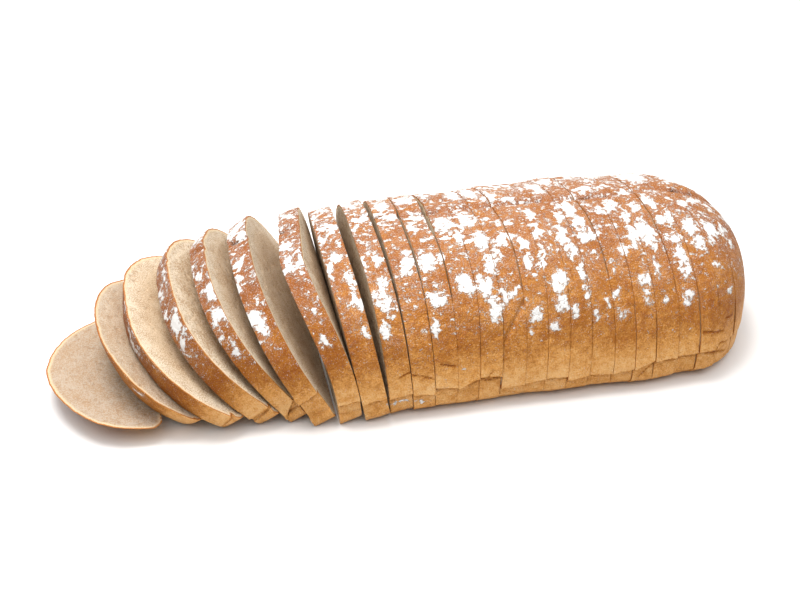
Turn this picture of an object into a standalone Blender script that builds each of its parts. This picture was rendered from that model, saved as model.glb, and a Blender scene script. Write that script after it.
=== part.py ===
"""Sourdough loaf, cut into slices, with the slices at its left end toppled over.

The loaf is first worked out whole: a D-shaped cross-section with a flat base runs from its
left tip to its right tip, and two tapers round its ends. Each piece is the stretch between
two cuts. The packed pieces stand upright and close to each other. The first nine lean
further and further to the left, each one resting against the next, and the left heel lies
on its domed crust with its cut face up.
"""
import math
from collections import namedtuple

import bmesh
import bpy
import numpy as np
from mathutils import Euler, Vector

MM = 0.001

# Cross-section of the whole loaf at full size.
HALF_WIDTH = 79.7 * MM
HEIGHT = 77.7 * MM
BELLY_HEIGHT = 6.8 * MM        # where the side is widest
BASE_HALF_WIDTH = 70.8 * MM
CROWN_ROUNDNESS = 2.4          # exponent of the arch over the belly
END_ROUNDNESS = 1.95           # the same at the left tip, nearer to a plain ellipse
OVAL_LENGTH = 60.0 * MM        # over which the section changes from one to the other
SKIRT_ROUNDNESS = 1.4          # exponent of the tuck under the belly
FOOT_GAIN = 7.5 * MM           # the base is wider round the toppled slices
FOOT_AT = 60.0 * MM
FOOT_REACH = 35.0 * MM

# Tapers, measured from each tip inwards. The left tip is blunt, as if a bit were missing.
LEFT_BLUNT = 7.3 * MM
LEFT_LENGTH = 105.0 * MM
LEFT_POWER = 3.6
LEFT_HEIGHT_LENGTH = 84.0 * MM
LEFT_HEIGHT_POWER = 2.6
RIGHT_LENGTH = 60.8 * MM
RIGHT_POWER = 2.13
RIGHT_WIDTH_ROUND = 1.37
RIGHT_HEIGHT_ROUND = 2.98
TIP_ROUND = 2.5 * MM
TIP_RISE = 22.0 * MM           # how far the base lifts off at the very tip
RELIEF_FROM = 0.6              # share of the full width under which the relief fades
RISE_FROM = 0.8                # share of the full width at which the base begins to lift
RISE_POWER = 1.5

# The crown is lowest at the left, highest in the right half, and sinks a little again.
CROWN_LOW = 0.962
CROWN_GAIN = 0.058
GAIN_FROM = 105.0 * MM
GAIN_LENGTH = 115.0 * MM
CROWN_DROP = 0.022
DROP_FROM = 225.0 * MM
DROP_LENGTH = 40.0 * MM
WAIST = 0.035                  # the loaf is narrower round the fourth slice
WAIST_AT = 60.0 * MM
WAIST_REACH = 30.0 * MM

# Relief of the crust.
SWELL = 0.55 * MM
# Waves of the swell: share, length along the loaf, length round it, start.
SWELL_WAVES = (
    (1.0, 19.0 * MM, 31.0 * MM, 0.0),
    (1.0, 47.0 * MM, -17.0 * MM, 2.0),
    (0.6, 8.0 * MM, 12.0 * MM, 0.7),
)
CREASE_DEPTH = 1.5 * MM        # lengthwise seam just behind the crown
CREASE_HALF_WIDTH = 2.4 * MM
CREASE_RIDGE = 0.8 * MM
CREASE_ARC = 13.5 * MM         # behind the crown in the left half
CREASE_DRIFT = 9.0 * MM        # nearer to the crown in the right half
CREASE_WAVER = 1.3 * MM
CREASE_WAVE = 13.0 * MM
CREASE_MEAN = 0.65             # its strength comes and goes by waves: share, length, start
CREASE_SWING = 0.45
CREASE_WAVES = ((0.6, 9.0 * MM, 0.4), (0.4, 23.0 * MM, 0.0))
CREASE_FROM = 30.0 * MM        # the left end has neither seam nor crack
CREASE_TO = 50.0 * MM
CRACK_FROM = 8.0 * MM
CRACK_TO = 40.0 * MM
RIDGE_BEHIND = 9.0 * MM        # a low ridge follows the seam
RIDGE_HALF_WIDTH = 7.0 * MM
CRACK_RECESS = 2.0 * MM        # the crust under the side crack stands back
CRACK_LIP = 0.7 * MM
CRACK_LIP_REACH = 5.0 * MM
BACK_CRACK_HEIGHT = 15.0 * MM
BACK_CRACK_SWING = 3.0 * MM
BACK_CRACK_WAVE = 25.0 * MM
SKIRT_SLACK = 4.0 * MM         # outline length up to the belly, less its height
STANDING_HEIGHT = 3.0 * MM     # the relief leaves the base flat up to about here
FOLD_DEPTH = 1.3 * MM          # slanting fold on the front of one packed slice
FOLD_HALF_WIDTH = 2.4 * MM
FOLD_LEFT = -88.0 * MM         # its arc position at the left and at the right cut
FOLD_RIGHT = -68.0 * MM

# Points of the mesh, with pairs close to both sides of a crack and of the seam.
ARCH_POINTS = 241
TUCK_POINTS = 30
LOW_POINTS = 6                 # under a crack
FRONT_POINTS = 23              # from the front crack to the seam
BACK_POINTS = 21               # from the seam to the back crack
BASE_POINTS = 7                # inner points of the flat base
CRACK_STEPS = np.array([-0.25, 0.25, 1.6]) * MM
SEAM_STEPS = np.array([-3.0, -1.2, 0.0, 1.2, 3.0]) * MM
UNDER_CRACK = 1.2 * MM
OVER_CRACK = 4.5 * MM
BESIDE_SEAM = 5.5 * MM
RINGS = 3                      # rings of points across a slice
HEEL_RINGS = 8
LEFT_TIP_TURN = 0.12           # radians left open at a heel's tip, closed by one flat fan
RIGHT_TIP_TURN = 0.06

GAP = 0.3 * MM                 # air between neighbours
FIRST_PACKED = 9               # index of the first upright piece, whose cuts are shared

Piece = namedtuple("Piece", "name thickness lean turn shift wide tall crack_left crack_right")

# Left to right: thickness, lean of the left face (degrees, top to the left), turn about the
# vertical (degrees), shift towards the back, scale of the width and of the height against the
# whole loaf's outline, and the height of the side crack at the left and at the right cut.
PIECES = (
    Piece("heel_left", 9.6 * MM, 82.7, 5.0, -16.0 * MM, 1.015, 1.17, 5.0 * MM, 6.0 * MM),
    Piece("slice_02", 11.9 * MM, 54.7, 3.3, -7.5 * MM, 0.99, 0.987, 7.0 * MM, 9.0 * MM),
    Piece("slice_03", 12.4 * MM, 53.6, 2.7, -0.4 * MM, 1.055, 0.976, 9.0 * MM, 10.0 * MM),
    Piece("slice_04", 12.9 * MM, 42.5, 2.3, 1.2 * MM, 1.0, 0.983, 12.0 * MM, 10.0 * MM),
    Piece("slice_05", 10.6 * MM, 34.3, 2.2, 1.2 * MM, 0.97, 1.012, 6.0 * MM, 14.0 * MM),
    Piece("slice_06", 12.4 * MM, 26.8, 1.8, 2.5 * MM, 1.045, 0.972, 20.7 * MM, 22.5 * MM),
    Piece("slice_07", 12.3 * MM, 16.2, 1.4, -2.8 * MM, 0.985, 1.011, 14.5 * MM, 14.5 * MM),
    Piece("slice_08", 13.5 * MM, 9.1, 1.2, -2.1 * MM, 0.999, 0.985, 16.3 * MM, 16.7 * MM),
    Piece("slice_09", 12.8 * MM, 4.2, 1.2, 0.3 * MM, 1.0, 0.995, 15.5 * MM, 16.5 * MM),
    Piece("slice_10", 11.2 * MM, 3.5, 0.0, 0.0 * MM, 1.0, 0.99, 16.5 * MM, 15.5 * MM),
    Piece("slice_11", 11.4 * MM, 1.4, 0.0, 0.2 * MM, 1.0, 1.0, 19.7 * MM, 17.5 * MM),
    Piece("slice_12", 11.7 * MM, -1.0, 0.0, 0.2 * MM, 1.0, 1.0, 17.0 * MM, 21.0 * MM),
    Piece("slice_13", 11.8 * MM, -2.5, 0.0, -0.3 * MM, 1.0, 1.0, 22.2 * MM, 21.5 * MM),
    Piece("slice_14", 12.8 * MM, -2.9, 0.0, -0.1 * MM, 1.0, 1.0, 13.0 * MM, 13.5 * MM),
    Piece("slice_15", 11.7 * MM, -2.5, 0.0, 0.5 * MM, 1.0, 1.0, 14.0 * MM, 15.0 * MM),
    Piece("slice_16", 12.3 * MM, -3.3, 0.0, 0.6 * MM, 1.0, 1.0, 15.5 * MM, 15.5 * MM),
    Piece("slice_17", 12.4 * MM, -2.9, 0.0, 0.1 * MM, 1.0, 1.0, 13.0 * MM, 14.0 * MM),
    Piece("slice_18", 13.6 * MM, -1.9, 0.0, 0.6 * MM, 1.0, 1.0, 14.0 * MM, 13.5 * MM),
    Piece("slice_19", 11.8 * MM, -0.8, 0.0, 0.3 * MM, 1.0, 1.0, 13.3 * MM, 15.0 * MM),
    Piece("slice_20", 12.0 * MM, -1.0, 0.0, -0.5 * MM, 1.0, 1.0, 14.5 * MM, 18.7 * MM),
    Piece("slice_21", 13.1 * MM, -0.5, 0.0, -0.6 * MM, 1.0, 1.0, 18.0 * MM, 19.0 * MM),
    Piece("slice_22", 12.5 * MM, -0.2, 0.0, 0.1 * MM, 1.0, 1.0, 19.7 * MM, 19.5 * MM),
    Piece("slice_23", 12.0 * MM, 0.0, 0.0, -0.3 * MM, 1.0, 1.0, 20.0 * MM, 20.0 * MM),
    Piece("slice_24", 13.6 * MM, 0.0, 0.0, 0.1 * MM, 1.0, 1.0, 19.0 * MM, 23.0 * MM),
    Piece("heel_right", 31.0 * MM, 0.0, 0.0, 0.0 * MM, 1.0, 1.0, 22.0 * MM, 18.0 * MM),
)
FOLDED = "slice_14"
BOW = {"slice_07": 5.0 * MM}   # how far the middle of a bent slice stands out to the right
CURL = {"slice_07": 5.0 * MM}  # how far the upper back of it does besides
CURL_FROM = -20.0 * MM
CURL_LENGTH = 45.0 * MM

CRUST_COLOUR = (0.52, 0.22, 0.06, 1.0)
CRUMB_COLOUR = (0.80, 0.66, 0.46, 1.0)


def smooth(value):
    """Ease from 0 to 1 while the value goes from 0 to 1."""
    value = min(max(value, 0.0), 1.0)
    return value * value * (3.0 - 2.0 * value)


def bump(value, half_width):
    """Bell-shaped hump of height 1 about 0."""
    return np.exp(-((value / half_width) ** 2))


# ---- the whole loaf ----


def outline(roundness):
    """Front base corner, over the crown, to the back base corner, as y and z arrays."""
    angle = np.linspace(0.0, math.pi, ARCH_POINTS)
    across = np.cos(angle)
    arch_y = -HALF_WIDTH * np.sign(across) * np.abs(across) ** (2.0 / roundness)
    arch_z = BELLY_HEIGHT + (HEIGHT - BELLY_HEIGHT) * np.sin(angle) ** (2.0 / roundness)
    tuck = np.linspace(0.0, math.pi / 2.0, TUCK_POINTS)[:-1]
    skirt_y = BASE_HALF_WIDTH + (HALF_WIDTH - BASE_HALF_WIDTH) * np.sin(tuck) ** (
        2.0 / SKIRT_ROUNDNESS
    )
    skirt_z = BELLY_HEIGHT * (1.0 - np.cos(tuck) ** (2.0 / SKIRT_ROUNDNESS))
    y = np.concatenate([-skirt_y, arch_y, skirt_y[::-1]])
    z = np.concatenate([skirt_z, arch_z, skirt_z[::-1]])
    return y, z


def arc_lengths(y, z):
    """Length along an outline, 0 at its crown and negative on the front."""
    steps = np.hypot(np.diff(y), np.diff(z))
    run = np.concatenate([[0.0], np.cumsum(steps)])
    return run - run[-1] / 2.0


FULL_Y, FULL_Z = outline(CROWN_ROUNDNESS)
FULL_ARC = arc_lengths(FULL_Y, FULL_Z)
HALF_ARC = FULL_ARC[-1]
OVAL_Y, OVAL_Z = outline(END_ROUNDNESS)
OVAL_ARC = arc_lengths(OVAL_Y, OVAL_Z) * HALF_ARC / arc_lengths(OVAL_Y, OVAL_Z)[-1]
LOAF_LENGTH = sum(piece.thickness + GAP for piece in PIECES) - GAP


def from_blunt(along):
    """Distance from where a pointed left tip would be."""
    return along + LEFT_BLUNT * min(along / PIECES[0].thickness, 1.0)


def width_at(along):
    """Width scale at a distance from the left tip."""
    left = min(from_blunt(along) / LEFT_LENGTH, 1.0)
    right = min(to_right_tip(along) / RIGHT_LENGTH, 1.0)
    scale = (1.0 - (1.0 - left) ** LEFT_POWER) ** 0.5
    scale *= (1.0 - (1.0 - right) ** RIGHT_POWER) ** (1.0 / RIGHT_WIDTH_ROUND)
    return scale * (1.0 - WAIST * bump(along - WAIST_AT, WAIST_REACH))


def to_right_tip(along):
    """Distance to the right tip, stretched close to it so that the tip comes out round."""
    left_over = max(LOAF_LENGTH - along, 0.0)
    return math.sqrt(left_over * (left_over + 2.0 * TIP_ROUND))


def height_at(along):
    """Height scale at a distance from the left tip."""
    left = min(from_blunt(along) / LEFT_HEIGHT_LENGTH, 1.0)
    right = min(to_right_tip(along) / RIGHT_LENGTH, 1.0)
    scale = (1.0 - (1.0 - left) ** LEFT_HEIGHT_POWER) ** 0.5
    scale *= (1.0 - (1.0 - right) ** RIGHT_POWER) ** (1.0 / RIGHT_HEIGHT_ROUND)
    crown = CROWN_LOW + CROWN_GAIN * smooth((along - GAIN_FROM) / GAIN_LENGTH)
    crown -= CROWN_DROP * smooth((along - DROP_FROM) / DROP_LENGTH)
    return scale * crown


def crease_arc(along):
    """Place of the lengthwise seam behind the crown."""
    drift = CREASE_DRIFT * smooth((along - GAIN_FROM) / GAIN_LENGTH)
    return CREASE_ARC - drift + CREASE_WAVER * math.sin(along / CREASE_WAVE)


def crease_strength(along):
    """How strongly the seam shows, which comes and goes along the loaf."""
    waves = sum(share * math.sin(along / wave + start) for share, wave, start in CREASE_WAVES)
    begun = smooth((along - CREASE_FROM) / (CREASE_TO - CREASE_FROM))
    return begun * (CREASE_MEAN + CREASE_SWING * waves)


def back_crack(along):
    """Height of the crack along the back of the loaf."""
    return BACK_CRACK_HEIGHT + BACK_CRACK_SWING * math.sin(along / BACK_CRACK_WAVE)


def side_arc(height):
    """Arc position, counted as positive, of a height on the loaf's side."""
    return HALF_ARC - SKIRT_SLACK - height


def swell(along, arc):
    """Gentle unevenness of the whole crust."""
    waves = sum(
        share * np.sin(along / lengthwise + arc / around + start)
        for share, lengthwise, around, start in SWELL_WAVES
    )
    return SWELL * waves


def relief(along, arc, crack, fold):
    """How far the crust stands out of the plain outline. A fold is given by its arc place."""
    height = swell(along, arc)
    seam = arc - crease_arc(along)
    strength = crease_strength(along)
    height = height - strength * CREASE_DEPTH * bump(seam, CREASE_HALF_WIDTH)
    height = height + strength * CREASE_RIDGE * bump(seam - RIDGE_BEHIND, RIDGE_HALF_WIDTH)
    open_crack = smooth((along - CRACK_FROM) / (CRACK_TO - CRACK_FROM))
    for side, crack_height in ((-1.0, crack), (1.0, back_crack(along))):
        above = side_arc(crack_height) - side * arc
        lip = CRACK_LIP * np.exp(-np.maximum(above, 0.0) / CRACK_LIP_REACH)
        fade = 0.5 + 0.5 * np.clip(1.0 + above / crack_height, 0.0, 1.0)
        height = height + open_crack * np.where(above > 0.0, lip, -CRACK_RECESS * fade)
    if fold is not None:
        height = height - FOLD_DEPTH * bump(arc - fold, FOLD_HALF_WIDTH)
    return height


def stations(along, crack):
    """Arc positions of one ring's points, close together at the seam and the cracks."""
    seam = crease_arc(along)
    front = -side_arc(crack)
    back = side_arc(back_crack(along))
    return np.concatenate(
        [
            np.linspace(-HALF_ARC, front - UNDER_CRACK, LOW_POINTS),
            front + CRACK_STEPS,
            np.linspace(front + OVER_CRACK, seam - BESIDE_SEAM, FRONT_POINTS),
            seam + SEAM_STEPS,
            np.linspace(seam + BESIDE_SEAM, back - OVER_CRACK, BACK_POINTS),
            back - CRACK_STEPS[::-1],
            np.linspace(back + UNDER_CRACK, HALF_ARC, LOW_POINTS),
        ]
    )


def ring(along, crack, wide, tall, fold):
    """One closed ring of the crust, as y and z, at a distance from the left tip."""
    arc = stations(along, crack)
    oval = 1.0 - smooth(from_blunt(along) / OVAL_LENGTH)
    y = (1.0 - oval) * np.interp(arc, FULL_ARC, FULL_Y)
    y = y + oval * np.interp(arc, OVAL_ARC, OVAL_Y)
    z = (1.0 - oval) * np.interp(arc, FULL_ARC, FULL_Z)
    z = z + oval * np.interp(arc, OVAL_ARC, OVAL_Z)
    slope_y = np.gradient(y, arc)
    slope_z = np.gradient(z, arc)
    slope = np.hypot(slope_y, slope_z)
    foot = FOOT_GAIN * bump(along - FOOT_AT, FOOT_REACH)
    y = y * (1.0 + np.maximum(1.0 - z / BELLY_HEIGHT, 0.0) * foot / BASE_HALF_WIDTH)
    out = relief(along, arc, crack, fold) * smooth(width_at(along) / RELIEF_FROM)
    standing = np.clip(z / STANDING_HEIGHT, 0.0, 1.0)
    y = y - out * slope_z / slope
    z = z + out * standing * slope_y / slope
    base = np.linspace(y[-1], y[0], BASE_POINTS + 2)[1:-1]
    y = np.concatenate([y, base])
    z = np.concatenate([z, np.zeros(BASE_POINTS)])
    width = width_at(along)
    rise = TIP_RISE * max(0.0, 1.0 - width / RISE_FROM) ** RISE_POWER
    height = height_at(along) - rise / HEIGHT
    return y * width * wide, rise + np.maximum(z, 0.0) * height * tall


# ---- the pieces ----


def start_of(index):
    """Distance of a piece's left cut from the left tip of the whole loaf."""
    return sum(piece.thickness + GAP for piece in PIECES[:index])


def lean_pair(index):
    """Lean of the left face of a packed piece and of its right face, which its neighbour shares."""
    left = PIECES[index].lean
    right = left
    if FIRST_PACKED <= index < len(PIECES) - 1:
        right = PIECES[index + 1].lean
    return math.radians(left), math.radians(right)


def shares(index):
    """Where a piece's rings lie across its thickness, from 0 at its left to 1."""
    if index == 0:
        turns = np.linspace(LEFT_TIP_TURN, math.pi / 2.0, HEEL_RINGS)
        return [1.0 - math.cos(turn) for turn in turns]
    if index == len(PIECES) - 1:
        turns = np.linspace(0.0, math.pi / 2.0 - RIGHT_TIP_TURN, HEEL_RINGS)
        return [math.sin(turn) for turn in turns]
    return list(np.linspace(0.0, 1.0, RINGS))


def bend(name, y, z):
    """How far each point of a ring stands out to the right because the slice is bent."""
    rise = z / z.max()
    back = np.clip((y - CURL_FROM) / CURL_LENGTH, 0.0, 1.0)
    bow = 4.0 * BOW.get(name, 0.0) * rise * (1.0 - rise)
    return bow + CURL.get(name, 0.0) * rise**3 * back


def local_rings(index):
    """All rings of a piece, with x across it, y towards the back and z up."""
    piece = PIECES[index]
    left_lean, right_lean = lean_pair(index)
    rings = []
    for share in shares(index):
        crack = piece.crack_left + (piece.crack_right - piece.crack_left) * share
        fold = FOLD_LEFT + (FOLD_RIGHT - FOLD_LEFT) * share if piece.name == FOLDED else None
        along = start_of(index) + share * piece.thickness
        y, z = ring(along, crack, piece.wide, piece.tall, fold)
        x = share * piece.thickness + bend(piece.name, y, z)
        if index >= FIRST_PACKED:
            lean = (1.0 - share) * math.tan(left_lean) + share * math.tan(right_lean)
            x = x - z * lean
        rings.append(np.stack([x, y, z], axis=1))
    return rings


def turned(index):
    """Rotation of a toppled piece. The packed ones stand straight."""
    piece = PIECES[index]
    if index >= FIRST_PACKED:
        return Euler((0.0, 0.0, math.radians(piece.turn)))
    return Euler((0.0, -math.radians(piece.lean), math.radians(piece.turn)))


def left_plane(index, place):
    """A point of a piece's left face, and the direction from it into the piece."""
    lean = math.radians(PIECES[index].lean)
    if index >= FIRST_PACKED:
        return np.array(place), np.array([math.cos(lean), 0.0, math.sin(lean)])
    return np.array(place), np.array(turned(index).to_matrix() @ Vector((1.0, 0.0, 0.0)))


def places():
    """Where each piece's left bottom edge stands, worked out from right to left.

    Each piece is pushed to the right until only the gap is left to its neighbour.
    """
    found = {len(PIECES) - 1: (0.0, 0.0, 0.0)}
    for index in range(len(PIECES) - 2, -1, -1):
        points = np.concatenate(local_rings(index))
        points = points @ np.array(turned(index).to_matrix()).T
        lift = -points[:, 2].min()
        points = points + np.array([0.0, PIECES[index].shift, lift])
        origin, inward = left_plane(index + 1, found[index + 1])
        reach = ((points - origin) @ inward).max()
        found[index] = (-(reach + GAP) / inward[0], PIECES[index].shift, lift)
    return found


def make_material(name, colour, roughness):
    """Plain material of one finish."""
    material = bpy.data.materials.new(name)
    material.use_nodes = True
    shader = material.node_tree.nodes["Principled BSDF"]
    shader.inputs["Base Color"].default_value = colour
    shader.inputs["Roughness"].default_value = roughness
    shader.inputs["Metallic"].default_value = 0.0
    material.diffuse_color = colour
    return material


def make_piece(index, place, crust, crumb, parent):
    """Skin the rings of one piece and close both its ends."""
    rings = local_rings(index)
    mesh = bmesh.new()
    loops = [[mesh.verts.new(point) for point in points] for points in rings]
    for before, after in zip(loops[:-1], loops[1:]):
        bmesh.ops.bridge_loops(mesh, edges=edges_of(mesh, before) + edges_of(mesh, after))
    for face in mesh.faces:
        face.smooth = True
    tips = {0: 0, len(PIECES) - 1: -1}
    for end in (0, -1):
        if tips.get(index) == end:
            close_tip(mesh, loops[end], rings[end])
        else:
            close_cut(mesh, loops[end], PIECES[index].name in BOW)
    bmesh.ops.recalc_face_normals(mesh, faces=mesh.faces)
    bmesh.ops.triangulate(mesh, faces=mesh.faces)
    data = bpy.data.meshes.new(PIECES[index].name)
    mesh.to_mesh(data)
    mesh.free()
    data.materials.append(crust)
    data.materials.append(crumb)
    piece = bpy.data.objects.new(PIECES[index].name, data)
    bpy.context.scene.collection.objects.link(piece)
    piece.parent = parent
    piece.location = place
    piece.rotation_euler = turned(index)
    return piece


def close_cut(mesh, loop, bent):
    """Close one cut by a flat face, or by level strips from front to back where it is bent."""
    rest = mesh.faces.new(loop)
    rest.material_index = 1
    if not bent:
        return
    last = len(loop) - BASE_POINTS - 1
    for start in range(1, last // 2 - 1):
        split_off = bmesh.utils.face_split(rest, loop[start], loop[last - start])[0]
        above = loop[start + 1]
        rest = rest if above in rest.verts else split_off


def edges_of(mesh, loop):
    """The edges round one ring, made where they are missing."""
    found = []
    for start, end in zip(loop, loop[1:] + loop[:1]):
        edge = mesh.edges.get((start, end))
        found.append(edge if edge else mesh.edges.new((start, end)))
    return found


def close_tip(mesh, loop, points):
    """Close the end of a heel's dome by faces round one middle point."""
    middle = mesh.verts.new(points.mean(axis=0))
    for start, end in zip(loop, loop[1:] + loop[:1]):
        face = mesh.faces.new((start, end, middle))
        face.smooth = True


def build():
    """Clear the scene and build the loaf about the middle of its base."""
    for old in list(bpy.data.objects):
        bpy.data.objects.remove(old, do_unlink=True)
    crust = make_material("crust", CRUST_COLOUR, 0.65)
    crumb = make_material("crumb", CRUMB_COLOUR, 0.9)
    loaf = bpy.data.objects.new("loaf", None)
    bpy.context.scene.collection.objects.link(loaf)
    found = places()
    pieces = [make_piece(index, found[index], crust, crumb, loaf) for index in found]
    bpy.context.view_layer.update()
    corners = [
        piece.matrix_world @ vertex.co for piece in pieces for vertex in piece.data.vertices
    ]
    middle = [
        (min(corner[axis] for corner in corners) + max(corner[axis] for corner in corners)) / 2.0
        for axis in range(2)
    ]
    loaf.location = (-middle[0], -middle[1], 0.0)
    bpy.context.view_layer.update()


build()
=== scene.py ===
"""Sliced sourdough loaf, dressed: fine crust, flour and open crumb over the fixed frame.

The loaf is worked out whole, in the distance along it from its left tip and the arc round it
from its crown, and every slice is a stretch of it. Crust colour and flour are laid in the
same two measures, so both run on from slice to slice. The toppled slices then lean over.
"""

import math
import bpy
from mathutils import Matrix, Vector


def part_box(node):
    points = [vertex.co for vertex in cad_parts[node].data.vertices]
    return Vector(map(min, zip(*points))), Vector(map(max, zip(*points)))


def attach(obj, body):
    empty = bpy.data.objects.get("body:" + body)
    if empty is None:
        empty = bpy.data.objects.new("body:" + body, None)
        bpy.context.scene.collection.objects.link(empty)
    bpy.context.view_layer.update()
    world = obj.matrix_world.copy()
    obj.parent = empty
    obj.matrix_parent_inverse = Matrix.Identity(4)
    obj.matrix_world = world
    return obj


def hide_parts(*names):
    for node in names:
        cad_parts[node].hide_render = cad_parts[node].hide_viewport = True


bl_info = {
    "name": "Sliced Sourdough Loaf",
    "version": (1, 0, 0),
    "blender": (4, 5, 0),
    "location": "View3D > Sidebar > Loaf",
    "description": "Builds a floured sourdough loaf whose left slices have toppled over",
    "category": "Add Mesh",
}

from collections import namedtuple

import bpy
import numpy as np
from mathutils import Euler, Vector
from mathutils.geometry import delaunay_2d_cdt

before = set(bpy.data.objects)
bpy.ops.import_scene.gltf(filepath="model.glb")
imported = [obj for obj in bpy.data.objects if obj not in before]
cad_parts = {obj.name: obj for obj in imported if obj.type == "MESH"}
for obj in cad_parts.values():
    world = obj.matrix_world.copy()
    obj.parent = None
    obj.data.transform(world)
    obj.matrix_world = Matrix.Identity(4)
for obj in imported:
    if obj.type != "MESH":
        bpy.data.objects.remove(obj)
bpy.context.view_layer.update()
BODY = "root"
MM = 0.001

# ---- the loaf as the frame has it ----

HALF_WIDTH = 79.7 * MM
HEIGHT = 77.7 * MM
BELLY_HEIGHT = 6.8 * MM  # where the side is widest
BASE_HALF_WIDTH = 70.8 * MM
CROWN_ROUNDNESS = 2.4  # exponent of the arch over the belly
END_ROUNDNESS = 1.95  # the same at the left tip
OVAL_LENGTH = 60.0 * MM
SKIRT_ROUNDNESS = 1.4  # exponent of the tuck under the belly
FOOT_GAIN = 7.5 * MM  # the base is wider round the toppled slices
FOOT_AT = 60.0 * MM
FOOT_REACH = 35.0 * MM

LEFT_BLUNT = 7.3 * MM
LEFT_LENGTH = 105.0 * MM
LEFT_POWER = 3.6
LEFT_HEIGHT_LENGTH = 84.0 * MM
LEFT_HEIGHT_POWER = 2.6
RIGHT_LENGTH = 60.8 * MM
RIGHT_POWER = 2.13
RIGHT_WIDTH_ROUND = 1.37
RIGHT_HEIGHT_ROUND = 2.98
TIP_ROUND = 2.5 * MM
TIP_RISE = 22.0 * MM
RELIEF_FROM = 0.6
RISE_FROM = 0.8
RISE_POWER = 1.5

CROWN_LOW = 0.962
CROWN_GAIN = 0.058
GAIN_FROM = 105.0 * MM
GAIN_LENGTH = 115.0 * MM
CROWN_DROP = 0.022
DROP_FROM = 225.0 * MM
DROP_LENGTH = 40.0 * MM
WAIST = 0.035
WAIST_AT = 60.0 * MM
WAIST_REACH = 30.0 * MM

SWELL = 0.55 * MM
# Waves of the swell: share, length along the loaf, length round it, start.
SWELL_WAVES = (
    (1.0, 19.0 * MM, 31.0 * MM, 0.0),
    (1.0, 47.0 * MM, -17.0 * MM, 2.0),
    (0.6, 8.0 * MM, 12.0 * MM, 0.7),
)
CREASE_DEPTH = 1.5 * MM  # lengthwise seam just behind the crown
CREASE_HALF_WIDTH = 2.4 * MM
CREASE_RIDGE = 0.8 * MM
CREASE_ARC = 13.5 * MM
CREASE_DRIFT = 9.0 * MM
CREASE_WAVER = 1.3 * MM
CREASE_WAVE = 13.0 * MM
CREASE_MEAN = 0.65
CREASE_SWING = 0.45
CREASE_WAVES = ((0.6, 9.0 * MM, 0.4), (0.4, 23.0 * MM, 0.0))
CREASE_FROM = 30.0 * MM
CREASE_TO = 50.0 * MM
CRACK_FROM = 8.0 * MM
CRACK_TO = 40.0 * MM
RIDGE_BEHIND = 9.0 * MM
RIDGE_HALF_WIDTH = 7.0 * MM
CRACK_RECESS = 2.0 * MM  # the crust under the side crack stands back
CRACK_LIP = 0.7 * MM
CRACK_LIP_REACH = 5.0 * MM
BACK_CRACK_HEIGHT = 15.0 * MM
BACK_CRACK_SWING = 3.0 * MM
BACK_CRACK_WAVE = 25.0 * MM
SKIRT_SLACK = 4.0 * MM
STANDING_HEIGHT = 3.0 * MM
FOLD_DEPTH = 1.3 * MM
FOLD_HALF_WIDTH = 2.4 * MM
FOLD_LEFT = -88.0 * MM
FOLD_RIGHT = -68.0 * MM
FOLDED = "slice_14"
BOW = {"slice_07": 5.0 * MM}  # how far the middle of a bent slice stands out to the right
CURL = {"slice_07": 5.0 * MM}  # how far the upper back of it does besides
CURL_FROM = -20.0 * MM
CURL_LENGTH = 45.0 * MM

GAP = 0.3 * MM
FIRST_PACKED = 9
LEFT_TIP_TURN = 0.12
RIGHT_TIP_TURN = 0.06

Piece = namedtuple("Piece", "name thickness lean turn shift wide tall crack_left crack_right")

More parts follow.
